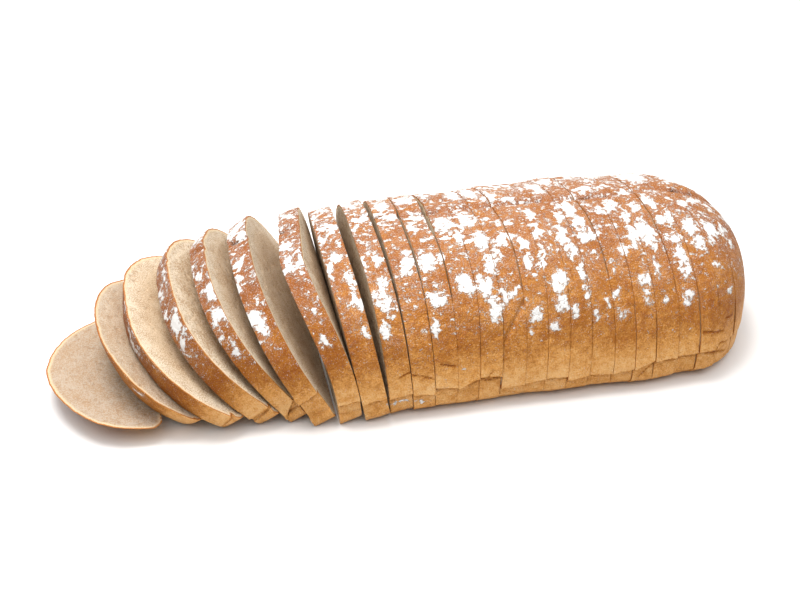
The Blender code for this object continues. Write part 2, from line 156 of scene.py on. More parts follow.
# Left to right: thickness, lean, turn, shift to the back, width and height against the whole
# loaf's outline, height of the side crack at both cuts. Millimetres and degrees.
CUTS = (
    ("heel_left", 9.6, 82.7, 5.0, -16.0, 1.015, 1.17, 5.0, 6.0),
    ("slice_02", 11.9, 54.7, 3.3, -7.5, 0.99, 0.987, 7.0, 9.0),
    ("slice_03", 12.4, 53.6, 2.7, -0.4, 1.055, 0.976, 9.0, 10.0),
    ("slice_04", 12.9, 42.5, 2.3, 1.2, 1.0, 0.983, 12.0, 10.0),
    ("slice_05", 10.6, 34.3, 2.2, 1.2, 0.97, 1.012, 6.0, 14.0),
    ("slice_06", 12.4, 26.8, 1.8, 2.5, 1.045, 0.972, 20.7, 22.5),
    ("slice_07", 12.3, 16.2, 1.4, -2.8, 0.985, 1.011, 14.5, 14.5),
    ("slice_08", 13.5, 9.1, 1.2, -2.1, 0.999, 0.985, 16.3, 16.7),
    ("slice_09", 12.8, 4.2, 1.2, 0.3, 1.0, 0.995, 15.5, 16.5),
    ("slice_10", 11.2, 3.5, 0.0, 0.0, 1.0, 0.99, 16.5, 15.5),
    ("slice_11", 11.4, 1.4, 0.0, 0.2, 1.0, 1.0, 19.7, 17.5),
    ("slice_12", 11.7, -1.0, 0.0, 0.2, 1.0, 1.0, 17.0, 21.0),
    ("slice_13", 11.8, -2.5, 0.0, -0.3, 1.0, 1.0, 22.2, 21.5),
    ("slice_14", 12.8, -2.9, 0.0, -0.1, 1.0, 1.0, 13.0, 13.5),
    ("slice_15", 11.7, -2.5, 0.0, 0.5, 1.0, 1.0, 14.0, 15.0),
    ("slice_16", 12.3, -3.3, 0.0, 0.6, 1.0, 1.0, 15.5, 15.5),
    ("slice_17", 12.4, -2.9, 0.0, 0.1, 1.0, 1.0, 13.0, 14.0),
    ("slice_18", 13.6, -1.9, 0.0, 0.6, 1.0, 1.0, 14.0, 13.5),
    ("slice_19", 11.8, -0.8, 0.0, 0.3, 1.0, 1.0, 13.3, 15.0),
    ("slice_20", 12.0, -1.0, 0.0, -0.5, 1.0, 1.0, 14.5, 18.7),
    ("slice_21", 13.1, -0.5, 0.0, -0.6, 1.0, 1.0, 18.0, 19.0),
    ("slice_22", 12.5, -0.2, 0.0, 0.1, 1.0, 1.0, 19.7, 19.5),
    ("slice_23", 12.0, 0.0, 0.0, -0.3, 1.0, 1.0, 20.0, 20.0),
    ("slice_24", 13.6, 0.0, 0.0, 0.1, 1.0, 1.0, 19.0, 23.0),
    ("heel_right", 31.0, 0.0, 0.0, 0.0, 1.0, 1.0, 22.0, 18.0),
)
PIECES = tuple(
    Piece(name, thick * MM, lean, turn, shift * MM, wide, tall, left * MM, right * MM)
    for name, thick, lean, turn, shift, wide, tall, left, right in CUTS
)
LAST = len(PIECES) - 1

# ---- what the dressed loaf has besides ----

GRAIN = 0.75 * MM  # spacing of the crust's points
EDGE_STEPS = np.array([0.0, 0.1, 0.3, 0.75]) * MM  # rings beside a cut
EDGE_ROUND = 0.35 * MM  # how round the edge beside a cut is worn, here more and there less
EDGE_MEAN = 0.85
EDGE_SWING = 0.6
EDGE_SIZE = 5.0 * MM
EDGE_SEED = 120
HEEL_LEFT_RINGS = 52
HEEL_RIGHT_RINGS = 64
ARCH_POINTS = 481
TUCK_POINTS = 30
BASE_POINTS = 36
LOW_POINTS = 24  # of a ring, from the base up to each crack
OVER_POINTS = 316  # and over the loaf between the cracks
CRACK_STEP = 0.2 * MM
CRACK_WAVER = 0.7 * MM
CRACK_GRAIN = (4.0 * MM, 61)  # here and below: size of the lumps and their seed
GROOVE_DEPTH = 0.9 * MM  # narrow dark line right under a crack's lip
GROOVE_HALF_WIDTH = 0.5 * MM
SEAM_GROOVE_DEPTH = 1.1 * MM
SEAM_GROOVE_HALF_WIDTH = 0.7 * MM
# How the seam's line strays: how far and how large the lumps are, in millimetres, and a seed.
SEAM_STRAY = ((1.3, 6.0, 57), (0.8, 2.2, 58))
GAPE_MEAN = 0.45  # the seam gapes here and there
GAPE_SWING = 0.9
GAPE_GRAIN = (3.5 * MM, 59)
FLAKE = 0.8 * MM  # torn crust stands up behind the seam
FLAKE_REACH = 3.0 * MM
FLAKE_GRAIN = (2.6 * MM, 63)
WRINKLE = 0.34 * MM
WRINKLE_GRAIN = (7.0 * MM, 51)
FINE_WRINKLE = 0.19 * MM
FINE_WRINKLE_GRAIN = (2.4 * MM, 55)
FLOUR_DEPTH = 0.2 * MM
FLOUR_FROM = 0.35  # flour as thick as this begins to stand proud
UNEVEN = 0.3 * MM  # by how much neighbours stand proud of each other
UNEVEN_SWING = 0.7
UNEVEN_SIZE = 22.0 * MM
UNEVEN_SEED = 81
FACE_GRAIN = 1.0 * MM  # spacing of the points on a cut face that shows
SIDE_GRAIN = 1.6 * MM  # and on one that is seen edge on
HEEL_GRAIN = 0.75 * MM
HIDDEN_GRAIN = 4.0 * MM
RIM_CLEARANCE = 0.6  # share of the spacing that inner points keep from the rim
RIM_FADE = 5.0 * MM  # how far in a cut face still follows its rim
WELD = 1e-7
PORES = 600
PORE_SIZES = (0.4 * MM, 1.15 * MM)
PORE_STRETCH = (0.85, 1.2)
PORE_DEPTH = 0.55
CRUMB_ROUGH = 0.12 * MM
CRUMB_ROUGH_SIZE = 3.0 * MM
PITS_FROM = 1.0 * MM  # how far from the crust they begin
PITS_FADE = 2.0 * MM
CLOSE_UP = 0.1 * MM  # packed slices touch closer than their solids
SHARP = math.radians(55.0)  # sharper edges than this aren't shaded smooth
# How grey and dry the cut face of a piece is, from 0 to 1.
DRYNESS = {"heel_left": 1.0, "slice_02": 0.75, "slice_03": 0.12, "slice_04": 0.15}
USUAL_DRYNESS = 0.3

# Cuts that stand open on the crust: the piece at their left, how wide, and from where to
# where round the loaf. Millimetres.
OPENINGS = (
    ("slice_09", 0.2, -60.0, 20.0),
    ("slice_10", 0.9, -50.0, 22.0),
    ("slice_11", 0.7, -64.0, 30.0),
    ("slice_11", 1.8, -16.0, 75.0),
    ("slice_12", 0.15, -60.0, -20.0),
    ("slice_14", 0.6, -66.0, 46.0),
    ("slice_18", 0.6, -64.0, 45.0),
    ("slice_18", 0.4, -34.0, 10.0),
    ("slice_20", 0.3, -125.0, -80.0),
    ("slice_21", 0.4, -76.0, 34.0),
    ("slice_21", 0.4, -36.0, 0.0),
    ("slice_22", 0.4, -130.0, -68.0),
    ("slice_23", 0.35, -92.0, -68.0),
    ("slice_24", 0.5, -114.0, -84.0),
)
OPENING_ENDS = 8.0  # an open cut closes over this length
OPENING_DEPTH = 2.0 * MM  # how deep the slices beside it give way

# Short cracks, most of them in the low crust, as places along and round the loaf. Millimetres.
SMALL_CRACKS = (
    ((103.5, -101.5), (110.5, -99.4), (116.3, -100.8), (122.5, -104.6)),
    ((124.5, -95.4), (133.5, -98.8)),
    ((140, -112.6), (146.1, -110.2), (148.9, -109.6), (153.5, -103.8)),
    ((148.5, -111.2), (157.5, -110.2)),
    ((182, -114.2), (190, -116.8)),
    ((238, -121.0), (244.5, -115.0), (249.5, -112.2)),
    ((252.5, -112.8), (264, -112.6)),
    ((265, -112.0), (273, -111.0)),
    ((277, -111.4), (286.3, -113.4), (296, -117.8)),
    ((283, -109.6), (288.3, -106.8), (301.5, -110.8)),
    ((289.5, -92.8), (297.5, -93.2)),
    ((273.5, -96.6), (290, -100.4)),
    ((146.5, -17.2), (150.5, -20.6)),
    ((201.5, -24.2), (215, -26.4)),
)
SMALL_CRACK_DEPTH = 0.7 * MM
SMALL_CRACK_HALF_WIDTH = 0.45 * MM
SMALL_CRACK_ENDS = 1.5 * MM
SMALL_CRACK_WAVER = 0.5 * MM
SMALL_CRACK_GRAIN = (2.5 * MM, 71)

# Flour lies in patches. Each has its place along and round the loaf, half its length both
# ways, its tilt in degrees and how thick it lies. Millimetres.
FLOUR_PATCHES = (
    (18, -78, 2, 6, 0, 0.9), (26, -38, 3, 10, 10, 0.5), (30, -28, 3, 6, 0, 0.4),
    (44, 27, 3, 6, -20, 0.9), (37, -9, 3, 4, 30, 0.6), (45, -8, 1.5, 4, 0, 0.5),
    (38, -31, 2, 4, 0, 0.8), (42, -43, 4, 8, -20, 1), (39, -56, 4, 2.5, 35, 0.9),
    (46, -35, 1.5, 4, 0, 0.7), (46, -50, 2, 4, 0, 0.7), (52, -15, 3, 5, 0, 1),
    (56.8, -34, 3, 7, -10, 1), (54, -29, 4, 2, 0, 0.8), (55, -50, 5, 5, 0, 0.85),
    (51, -62, 2, 5, -15, 0.85), (53, -72, 3, 6, -20, 0.75), (52, 30, 4, 9, -15, 0.9),
    (56.8, 22, 3, 5, 0, 0.6), (63.8, -11, 3, 6, -20, 1), (60.8, -23, 3, 4, 0, 1),
    (67.8, -44, 1.5, 2, 0, 0.7), (62.8, -54, 4.5, 6, 15, 1), (64.8, -62, 3, 4, 0, 0.8),
    (59.8, -67, 2, 2, 0, 0.7), (64.8, 30, 4, 14, -12, 1), (68.8, 16, 3, 5, 0, 0.9),
    (75.8, -6, 3, 6, 10, 1), (75.8, -24, 3, 9, 0, 0.95), (80.8, -30, 3, 6, 0, 0.8),
    (82.8, -22, 1.5, 10, 0, 0.9), (78.8, -57, 2, 2, 0, 0.7), (76.8, -74, 2, 4, 0, 0.85),
    (74.8, 33, 2, 8, 0, 0.7), (78.8, 30, 2.5, 6, 0, 0.8), (90.7, 11, 6, 3, 0, 1),
    (93.7, 6, 3, 6, -30, 0.95), (87.7, -2, 2, 6, 0, 0.9), (94.7, -7, 3, 2, 0, 0.9),
    (91.7, -20, 3, 5, 0, 0.9), (86.7, -30, 2, 9, 0, 0.85), (94.7, -40, 3, 9, 0, 0.65),
    (94.7, -55, 2.5, 5, 0, 0.85), (95.7, -72, 2, 4, 0, 0.9), (91.7, 38, 4, 10, 0, 0.6),
    (86.7, 25, 2, 8, 0, 0.6), (104.5, 13, 6, 3, 0, 1), (100.5, 4, 3, 4, 0, 0.8),
    (103.5, -6, 2, 2, 0, 0.7), (99.5, -32, 1.5, 8, 0, 0.9), (106.5, -31, 3, 6, 0, 0.85),
    (105.5, -45, 5, 5, 0, 0.7), (104.5, -57, 5, 6, 20, 1), (101.5, -74, 2, 6, 0, 1),
    (106.5, -66, 2, 2, 0, 0.7), (104.5, 30, 4, 8, 0, 0.5), (100.5, 40, 3, 10, 0, 0.8),
    (115.5, 28, 4, 7, 0, 1), (112.5, 17, 5, 2.5, 0, 0.9), (117.5, 12, 4, 3, 0, 0.95),
    (115.5, -5, 1.5, 2, 0, 0.8), (118.5, -33, 3.5, 9, -10, 1), (117.5, -63, 1.5, 1.5, 0, 0.7),
    (120.5, -76, 1.5, 4, 0, 0.7), (119.5, 45, 4, 6, 0, 0.9), (128.5, 6, 5, 3, 0, 1),
    (129.5, 14, 4, 2, -25, 0.9), (125.5, -7, 1.7, 7, 0, 0.95), (129.5, -19, 3, 2.5, 0, 0.8),
    (127.5, -37, 3.5, 9, -8, 1), (133.5, -35, 1.5, 8, 0, 0.7), (129.5, -52, 3, 4, 0, 0.6),
    (127.5, -61, 4.5, 5, 0, 0.8), (125.5, -75, 2.2, 6, 0, 0.9), (127.5, 33, 4, 8, -15, 0.9),
    (124.5, 45, 3, 6, 0, 0.9), (140.5, -7, 5, 8, 0, 1), (144.5, -21, 2.5, 7, 0, 1),
    (138.5, -18, 2, 2, 0, 0.6), (141.5, -55, 4, 7, 20, 0.85), (138.5, 36, 3, 9, 0, 0.9),
    (144.5, 40, 2, 6, 0, 0.7), (152.5, -6, 5, 8, 0, 1), (155.5, -28, 4, 9, 0, 1),
    (150.5, -26, 3, 4, 0, 0.8), (156.5, -44, 3, 8, 0, 1), (150.5, -56, 5, 6, 0, 1),
    (154.5, -69, 3.5, 7, 10, 0.85), (153.5, 33, 5, 14, 0, 1), (149.5, 8, 2.5, 3, 0, 0.9),
    (163.5, -7, 3, 2.5, 0, 0.7), (167.5, -14, 3, 4, 0, 0.9), (166.5, -30, 3, 6, -15, 1),
    (160.5, -40, 2.5, 8, 0, 0.65), (166.5, -62, 3.5, 3, 20, 0.9), (160, -64, 2, 4, 0, 0.9),
    (163.5, 33, 5, 14, 0, 1), (168.5, 15, 3, 3, 0, 0.8), (174, -17, 2.5, 2.5, 0, 0.8),
    (173.5, -29, 2, 2.5, 0, 0.8), (176.5, -34, 2, 5, 0, 1), (177.5, -48, 2.2, 6, -10, 1),
    (177.5, -76, 4.5, 2.5, 40, 0.85), (173, -84, 1.5, 2, 0, 0.7), (173.5, 20, 2.5, 9, 0, 0.9),
    (182.5, 14, 5, 2, 0, 0.95), (180.5, 40, 3, 8, 0, 0.8), (188.5, -8, 4, 6, 0, 0.95),
    (186.5, -20, 3, 3, 0, 0.8), (187.5, -28, 3.3, 4.5, 0, 1), (185, -46, 1.8, 6, 0, 0.85),
    (191.5, -61, 4, 6, 10, 0.95), (191.5, -73, 4, 4, -20, 0.85), (186, -84, 3, 2.5, 0, 0.75),
    (188.5, 37, 3, 8, -10, 0.8), (194.5, 25, 2, 6, 0, 0.7), (204.5, -16, 3.5, 4, 0, 0.95),
    (207.5, -5, 2.5, 5, 0, 0.9), (198.5, -4, 1.5, 3, 0, 0.7), (200.5, -32, 3.5, 8, 0, 1),
    (203.5, -44, 3, 6, 0, 1), (206.5, -57, 2.5, 5, 0, 0.85), (206.5, -69, 2, 4, 0, 0.8),
    (198.5, -78, 2.5, 4, 0, 0.75), (203.5, 25, 5, 14, 0, 1), (213.5, -10, 4, 8, 0, 1),
    (215.5, -22, 4, 5, 0, 0.95), (213.5, -33, 4, 6, 0, 0.95), (219.5, -34, 3, 4, 0, 0.85),
    (216.5, -46, 2, 2, 0, 0.75), (219.5, -75, 2, 3, 0, 0.8), (212.5, -80, 2, 3, 0, 0.65),
    (214.5, 35, 5, 10, 0, 0.8), (226.5, -5, 3, 5, 0, 0.65), (232.5, -13, 3.5, 5, -30, 0.95),
    (224.5, -34, 2, 2, 0, 0.85), (232.5, -28, 4, 2, 0, 0.8), (233.5, -45, 2, 6, 0, 0.75),
    (226.5, -57, 2.2, 2, 0, 0.8), (225.5, -71, 3, 3.5, 0, 0.65), (227.5, -82, 3, 2, 0, 0.65),
    (229.5, 12, 5, 4, 0, 0.8), (232.5, 42, 5, 6, 0, 0.8), (240.5, -9, 5, 6, 0, 1),
    (245.5, -20, 2, 5, 0, 0.9), (243.5, -37, 4, 8, 0, 1), (243.5, -64, 3.5, 6, 0, 0.75),
    (243.5, -76, 3, 5, 0, 0.7), (241.5, 12, 5, 4, 0, 0.75), (244.5, 38, 4, 8, 0, 0.9),
    (254.5, 5, 3, 3, 0, 0.95), (254.5, -12, 4, 5, 0, 0.85), (252.5, -34, 5, 11, 0, 1),
    (251.5, -58, 2.5, 5, 0, 0.65), (253.5, -77, 2.5, 3, 0, 0.65), (264.5, -9, 4, 7, 0, 1),
    (264.5, -26, 3, 4, 0, 0.9), (270.5, -27, 3, 5, 0, 0.9), (266.5, -38, 4, 5, 0, 0.75),
    (268.5, -55, 3.5, 11, 0, 0.85), (266.5, -76, 4, 4, 0, 0.65), (270.5, 30, 8, 16, 0, 1),
    (277.5, -5, 3, 2, 0, 0.6), (284.5, -10, 4, 5, 0, 0.8), (279.5, -32, 4, 7, 0, 0.85),
    (281.5, -45, 4, 4, 0, 0.8), (284.5, -53, 1.5, 2, 0, 0.7), (287.5, -61, 2, 2.5, 0, 0.75),
    (292.5, -7, 5, 6, 0, 0.75), (293.5, -36, 5, 7, 0, 0.85), (290.5, -45, 3, 4, 0, 0.7),
    (290.5, -62, 2, 2.5, 0, 0.7), (294.5, -77, 2.2, 3, 0, 0.75), (292.5, 27, 7, 14, 0, 1),
    (99.5, -118.6, 2.2, 0.8, 0, 0.9), (105.5, -119.2, 1.6, 0.7, 0, 0.9),
    (111, -119.6, 1.2, 0.6, 0, 0.8), (115.5, -120, 2.4, 0.8, 0, 0.9), (138.5, -100, 0.6, 0.6, 0, 1),
    (304.5, -35, 4, 8, 0, 0.8), (306.5, -48, 3, 5, 0, 0.7), (303.5, -12, 3, 5, 0, 0.6),
    (308.5, 25, 5, 12, 0, 0.8), (315.5, -20, 3, 6, 0, 0.7), (310.5, -2, 3, 4, 0, 0.7),
)
BACK_PATCHES = 95  # more of them on the back, each with its values drawn from these ranges
BACK_RANGES = ((30.0, 325.0), (50.0, 100.0), (1.5, 5.0), (2.5, 9.0), (-30.0, 30.0), (0.6, 1.0))
PATCH_SEED = 11
PATCH_REACH = 12.0
PATCH_LEAST = 0.36
PATCH_GAIN = 0.5
PATCH_CORE = 0.25
PATCH_FADE = 1.75
# How their outlines stray, along and round the loaf: how far, size of the lumps, seed.
STRAY_ALONG = ((1.6, 4.0, 21), (1.0, 1.8, 22))
STRAY_ROUND = ((2.4, 5.0, 23), (1.2, 1.8, 24))
# Flour between the patches: places round the loaf and how thickly it lies there.
DUST_ARCS = (-104.0, -92.0, -78.0, -60.0, -30.0, 10.0, 40.0, 70.0, 95.0, 112.0)
DUST_LEVELS = (0.0, 0.06, 0.16, 0.25, 0.34, 0.36, 0.46, 0.42, 0.18, 0.0)
DUST_FROM = 8.0
DUST_FADE = 30.0
DUST_LEAST = 0.02
DUST_EASE = 0.2
DUST_CLOUDS = 0.16
DUST_GRAIN = (7.0 * MM, 31)

# How darkly the crust is baked, from 0 at its palest to 1, plus painted shade in cracks and seam.
# Places and fades are millimetres.
BAKE_LEAST = 0.08
BAKE_BASE = 0.35
BAKE_BODY = 0.36
BODY_ARC = 118.0
BODY_FADE = 34.0
BAKE_CROWN = 0.12
CROWN_ARC = 72.0
CROWN_FADE = 40.0
BAKE_TOPPLED = 0.1
TOPPLED_FROM = 14.0
TOPPLED_TO = 95.0
TOPPLED_FADE = 20.0
# Painted shade in the seam's groove, darker where the seam gapes.
SEAM_SHADE = 0.5
SEAM_SHADE_HALF_WIDTH = 1.2 * MM
BAKE_BEHIND_SEAM = 0.12
# Painted shadow: a dark line right under each side crack's lip, where the lip overhangs.
LIP_SHADOW = 0.6
LIP_SHADOW_HALF_WIDTH = 0.5 * MM
BAKE_RECESS = 0.1
# Painted shade inside the short cracks.
SMALL_CRACK_SHADE = 0.4
BAKE_CLOUDS = 0.07
BAKE_GRAINS = ((16.0 * MM, 41), (4.0 * MM, 44))


# ---- shape of the whole loaf ----


def smooth(value):
    """Ease from 0 to 1 while the value goes from 0 to 1."""
    value = np.clip(value, 0.0, 1.0)
    return value * value * (3.0 - 2.0 * value)


def between(value, low, high, fade):
    """1 well between two bounds, easing to 0 at both."""
    return smooth((value - low) / fade) * smooth((high - value) / fade)


def bump(value, half_width):
    """Bell-shaped hump of height 1 about 0."""
    return np.exp(-((value / half_width) ** 2))


def outline(roundness):
    """Front base corner, over the crown, to the back base corner, as y and z arrays."""
    angle = np.linspace(0.0, math.pi, ARCH_POINTS)
    across_loaf = np.cos(angle)
    arch_y = -HALF_WIDTH * np.sign(across_loaf) * np.abs(across_loaf) ** (2.0 / roundness)
    arch_z = BELLY_HEIGHT + (HEIGHT - BELLY_HEIGHT) * np.sin(angle) ** (2.0 / roundness)
    tuck = np.linspace(0.0, math.pi / 2.0, TUCK_POINTS)[:-1]
    overhang = (HALF_WIDTH - BASE_HALF_WIDTH) * np.sin(tuck) ** (2.0 / SKIRT_ROUNDNESS)
    skirt_y = BASE_HALF_WIDTH + overhang
    skirt_z = BELLY_HEIGHT * (1.0 - np.cos(tuck) ** (2.0 / SKIRT_ROUNDNESS))
    y = np.concatenate([-skirt_y, arch_y, skirt_y[::-1]])
    z = np.concatenate([skirt_z, arch_z, skirt_z[::-1]])
    return y, z


def arc_lengths(y, z):
    """Length along an outline, 0 at its crown and negative on the front."""
    steps = np.hypot(np.diff(y), np.diff(z))
    run = np.concatenate([[0.0], np.cumsum(steps)])
    return run - run[-1] / 2.0


FULL_Y, FULL_Z = outline(CROWN_ROUNDNESS)
FULL_ARC = arc_lengths(FULL_Y, FULL_Z)
HALF_ARC = FULL_ARC[-1]
OVAL_Y, OVAL_Z = outline(END_ROUNDNESS)
OVAL_ARC = arc_lengths(OVAL_Y, OVAL_Z) * HALF_ARC / arc_lengths(OVAL_Y, OVAL_Z)[-1]
LOAF_LENGTH = sum(piece.thickness + GAP for piece in PIECES) - GAP


def from_blunt(along):
    """Distance from where a pointed left tip would be."""
    return along + LEFT_BLUNT * np.minimum(along / PIECES[0].thickness, 1.0)


def to_right_tip(along):
    """Distance to the right tip, stretched close to it so that the tip comes out round."""
    left_over = np.maximum(LOAF_LENGTH - along, 0.0)
    return np.sqrt(left_over * (left_over + 2.0 * TIP_ROUND))


def width_at(along):
    """Width scale at a distance from the left tip."""
    left = np.minimum(from_blunt(along) / LEFT_LENGTH, 1.0)
    right = np.minimum(to_right_tip(along) / RIGHT_LENGTH, 1.0)
    scale = (1.0 - (1.0 - left) ** LEFT_POWER) ** 0.5
    scale = scale * (1.0 - (1.0 - right) ** RIGHT_POWER) ** (1.0 / RIGHT_WIDTH_ROUND)
    return scale * (1.0 - WAIST * bump(along - WAIST_AT, WAIST_REACH))


def height_at(along):
    """Height scale at a distance from the left tip."""
    left = np.minimum(from_blunt(along) / LEFT_HEIGHT_LENGTH, 1.0)
    right = np.minimum(to_right_tip(along) / RIGHT_LENGTH, 1.0)
    scale = (1.0 - (1.0 - left) ** LEFT_HEIGHT_POWER) ** 0.5
    scale = scale * (1.0 - (1.0 - right) ** RIGHT_POWER) ** (1.0 / RIGHT_HEIGHT_ROUND)
    crown = CROWN_LOW + CROWN_GAIN * smooth((along - GAIN_FROM) / GAIN_LENGTH)
    return scale * (crown - CROWN_DROP * smooth((along - DROP_FROM) / DROP_LENGTH))


def crease_arc(along):
    """Place of the lengthwise seam behind the crown."""
    drift = CREASE_DRIFT * smooth((along - GAIN_FROM) / GAIN_LENGTH)
    return CREASE_ARC - drift + CREASE_WAVER * np.sin(along / CREASE_WAVE)


def crease_strength(along):
    """How strongly the seam shows, which comes and goes along the loaf."""
    waves = sum(share * np.sin(along / wave + start) for share, wave, start in CREASE_WAVES)
    begun = smooth((along - CREASE_FROM) / (CREASE_TO - CREASE_FROM))
    return begun * (CREASE_MEAN + CREASE_SWING * waves)


def crack_strength(along):
    """How far the cracks along both sides have opened."""
    return smooth((along - CRACK_FROM) / (CRACK_TO - CRACK_FROM))


def back_crack(along):
    """Height of the crack along the back of the loaf."""
    return BACK_CRACK_HEIGHT + BACK_CRACK_SWING * np.sin(along / BACK_CRACK_WAVE)


def side_arc(height):
    """Arc position, counted as positive, of a height on the loaf's side."""
    return HALF_ARC - SKIRT_SLACK - height


def above_cracks(along, arc, crack):
    """How far a place is above the front and above the back crack."""
    front = side_arc(crack) + arc
    back = side_arc(back_crack(along)) - arc
    return front, back


def relief(along, arc, crack, fold):
    """How far the crust stands out of the plain outline. A fold is given by its arc place."""
    height = SWELL * sum(
        share * np.sin(along / lengthwise + arc / around + start)
        for share, lengthwise, around, start in SWELL_WAVES
    )
    seam = arc - crease_arc(along)
    strength = crease_strength(along)
    height = height - strength * CREASE_DEPTH * bump(seam, CREASE_HALF_WIDTH)
    height = height + strength * CREASE_RIDGE * bump(seam - RIDGE_BEHIND, RIDGE_HALF_WIDTH)
    heights = (crack, back_crack(along))
    for above, crack_height in zip(above_cracks(along, arc, crack), heights):
        lip = CRACK_LIP * np.exp(-np.maximum(above, 0.0) / CRACK_LIP_REACH)
        fade = 0.5 + 0.5 * np.clip(1.0 + above / crack_height, 0.0, 1.0)
        step = np.where(above > 0.0, lip, -CRACK_RECESS * fade)
        height = height + crack_strength(along) * step
    if fold is not None:
        height = height - FOLD_DEPTH * bump(arc - fold, FOLD_HALF_WIDTH)
    return height


def section(along, arc, out, piece):
    """Where crust points lie across the loaf, y and z, when they stand out by the relief."""
    oval = 1.0 - smooth(from_blunt(along) / OVAL_LENGTH)
    y = (1.0 - oval) * np.interp(arc, FULL_ARC, FULL_Y) + oval * np.interp(arc, OVAL_ARC, OVAL_Y)
    z = (1.0 - oval) * np.interp(arc, FULL_ARC, FULL_Z) + oval * np.interp(arc, OVAL_ARC, OVAL_Z)
    slope_y = np.stack([np.gradient(line, places) for line, places in zip(y, arc)])
    slope_z = np.stack([np.gradient(line, places) for line, places in zip(z, arc)])
    slope = np.hypot(slope_y, slope_z)
    foot = FOOT_GAIN * bump(along - FOOT_AT, FOOT_REACH)
    y = y * (1.0 + np.maximum(1.0 - z / BELLY_HEIGHT, 0.0) * foot / BASE_HALF_WIDTH)
    width = width_at(along)
    out = out * smooth(width / RELIEF_FROM)
    standing = np.clip(z / STANDING_HEIGHT, 0.0, 1.0)
    y = y - out * slope_z / slope
    z = z + out * standing * slope_y / slope
    rise = TIP_RISE * np.maximum(0.0, 1.0 - width / RISE_FROM) ** RISE_POWER
    height = height_at(along) - rise / HEIGHT
    return y * width * piece.wide, rise + np.maximum(z, 0.0) * height * piece.tall


# ---- grain, flour and bake ----


def scatter(cells_u, cells_v, seed):
    """A number from 0 to 1 for each whole-numbered cell, the same each time."""
    mixed = cells_u * 374761393 + cells_v * 668265263 + seed * 974711
    mixed = (mixed ^ (mixed >> 13)) & 0xFFFFFFFF
    mixed = (mixed * 1274126177) & 0xFFFFFFFF
    return ((mixed ^ (mixed >> 16)) & 0xFFFF) / 65535.0


def grain(u, v, size, seed):
    """Soft lumps from -1 to 1, about as large as the size given."""
    u = np.asarray(u) / size
    v = np.asarray(v) / size
    cell_u = np.floor(u).astype(np.int64)
    cell_v = np.floor(v).astype(np.int64)
    blend_u = smooth(u - cell_u)
    blend_v = smooth(v - cell_v)
    near = scatter(cell_u, cell_v, seed) * (1.0 - blend_u)
    near = near + scatter(cell_u + 1, cell_v, seed) * blend_u
    far = scatter(cell_u, cell_v + 1, seed) * (1.0 - blend_u)
    far = far + scatter(cell_u + 1, cell_v + 1, seed) * blend_u
    return 2.0 * (near * (1.0 - blend_v) + far * blend_v) - 1.0


def layered(u, v, size, seed, layers=3):
    """Grain over finer and finer grain."""
    total = 0.0
    for layer in range(layers):
        total = total + grain(u, v, size / 2.0**layer, seed + layer) / 2.0**layer
    return total / 1.5


def strayed(value, along, arc, strays):
    """A value in millimetres that strays with the grain."""
    for far, size, seed in strays:
        value = value + far * grain(along, arc, size * MM, seed)
    return value


def all_patches():
    """The flour patches of the front and the crown, and more of them on the back."""
    chance = np.random.default_rng(PATCH_SEED)
    patches = list(FLOUR_PATCHES)
    for _ in range(BACK_PATCHES):
        patches.append(tuple(chance.uniform(*limits) for limits in BACK_RANGES))
    return patches


ALL_PATCHES = all_patches()


def dusting(along, arc):
    """How thickly flour lies at a place, from 0 to about 1."""
    u = strayed(along / MM, along, arc, STRAY_ALONG)
    v = strayed(arc / MM, along, arc, STRAY_ROUND)
    field = np.interp(v, DUST_ARCS, DUST_LEVELS) * smooth((along / MM - DUST_FROM) / DUST_FADE)
    for at, arc_at, half_along, half_round, tilt, weight in ALL_PATCHES:
        if not u.min() - PATCH_REACH < at < u.max() + PATCH_REACH:
            continue
        turn = math.radians(tilt)
        right = (u - at) * math.cos(turn) + (v - arc_at) * math.sin(turn)
        up = (v - arc_at) * math.cos(turn) - (u - at) * math.sin(turn)
        reach = np.hypot(right / half_along, up / half_round)
        thick = PATCH_LEAST + PATCH_GAIN * weight
        field = np.maximum(field, thick * (1.0 - smooth((reach - PATCH_CORE) / PATCH_FADE)))
    clouds = DUST_CLOUDS * layered(along, arc, *DUST_GRAIN, layers=4)
    return field + clouds * smooth((field - DUST_LEAST) / DUST_EASE)


def bake(along, arc, crack):
    """How darkly the crust is baked, from 0 at its palest to 1, with painted shade in the seam, in
    the short cracks and under the crack lips added on.
    """
    dark = BAKE_LEAST + BAKE_BODY * between(arc / MM, -BODY_ARC, BODY_ARC, BODY_FADE)
    dark = dark + BAKE_CROWN * between(arc / MM, -CROWN_ARC, CROWN_ARC, CROWN_FADE)
    toppled = between(along / MM, TOPPLED_FROM, TOPPLED_TO, TOPPLED_FADE)
    dark = dark + BAKE_TOPPLED * toppled * smooth((arc / MM + BODY_ARC) / BODY_FADE)
    seam, gape = torn_seam(along, arc)
    # Painted shade where the seam gapes.
    dark = dark + SEAM_SHADE * gape * bump(seam, SEAM_SHADE_HALF_WIDTH)
    dark = dark + BAKE_BEHIND_SEAM * crease_strength(along) * bump(seam - 2.0 * MM, 2.5 * MM)
    for above in above_cracks(along, arc, crack):
        # Painted shadow right under the crack's lip.
        lip_shadow = LIP_SHADOW * bump(above + 0.3 * MM, LIP_SHADOW_HALF_WIDTH)
        dark = dark + crack_strength(along) * (lip_shadow + BAKE_RECESS * smooth(-above / MM))
    # Painted shade inside the short cracks.
    dark = dark + SMALL_CRACK_SHADE * small_cracks(along, arc)
    return dark + BAKE_CLOUDS * sum(layered(along, arc, *clouds) for clouds in BAKE_GRAINS)


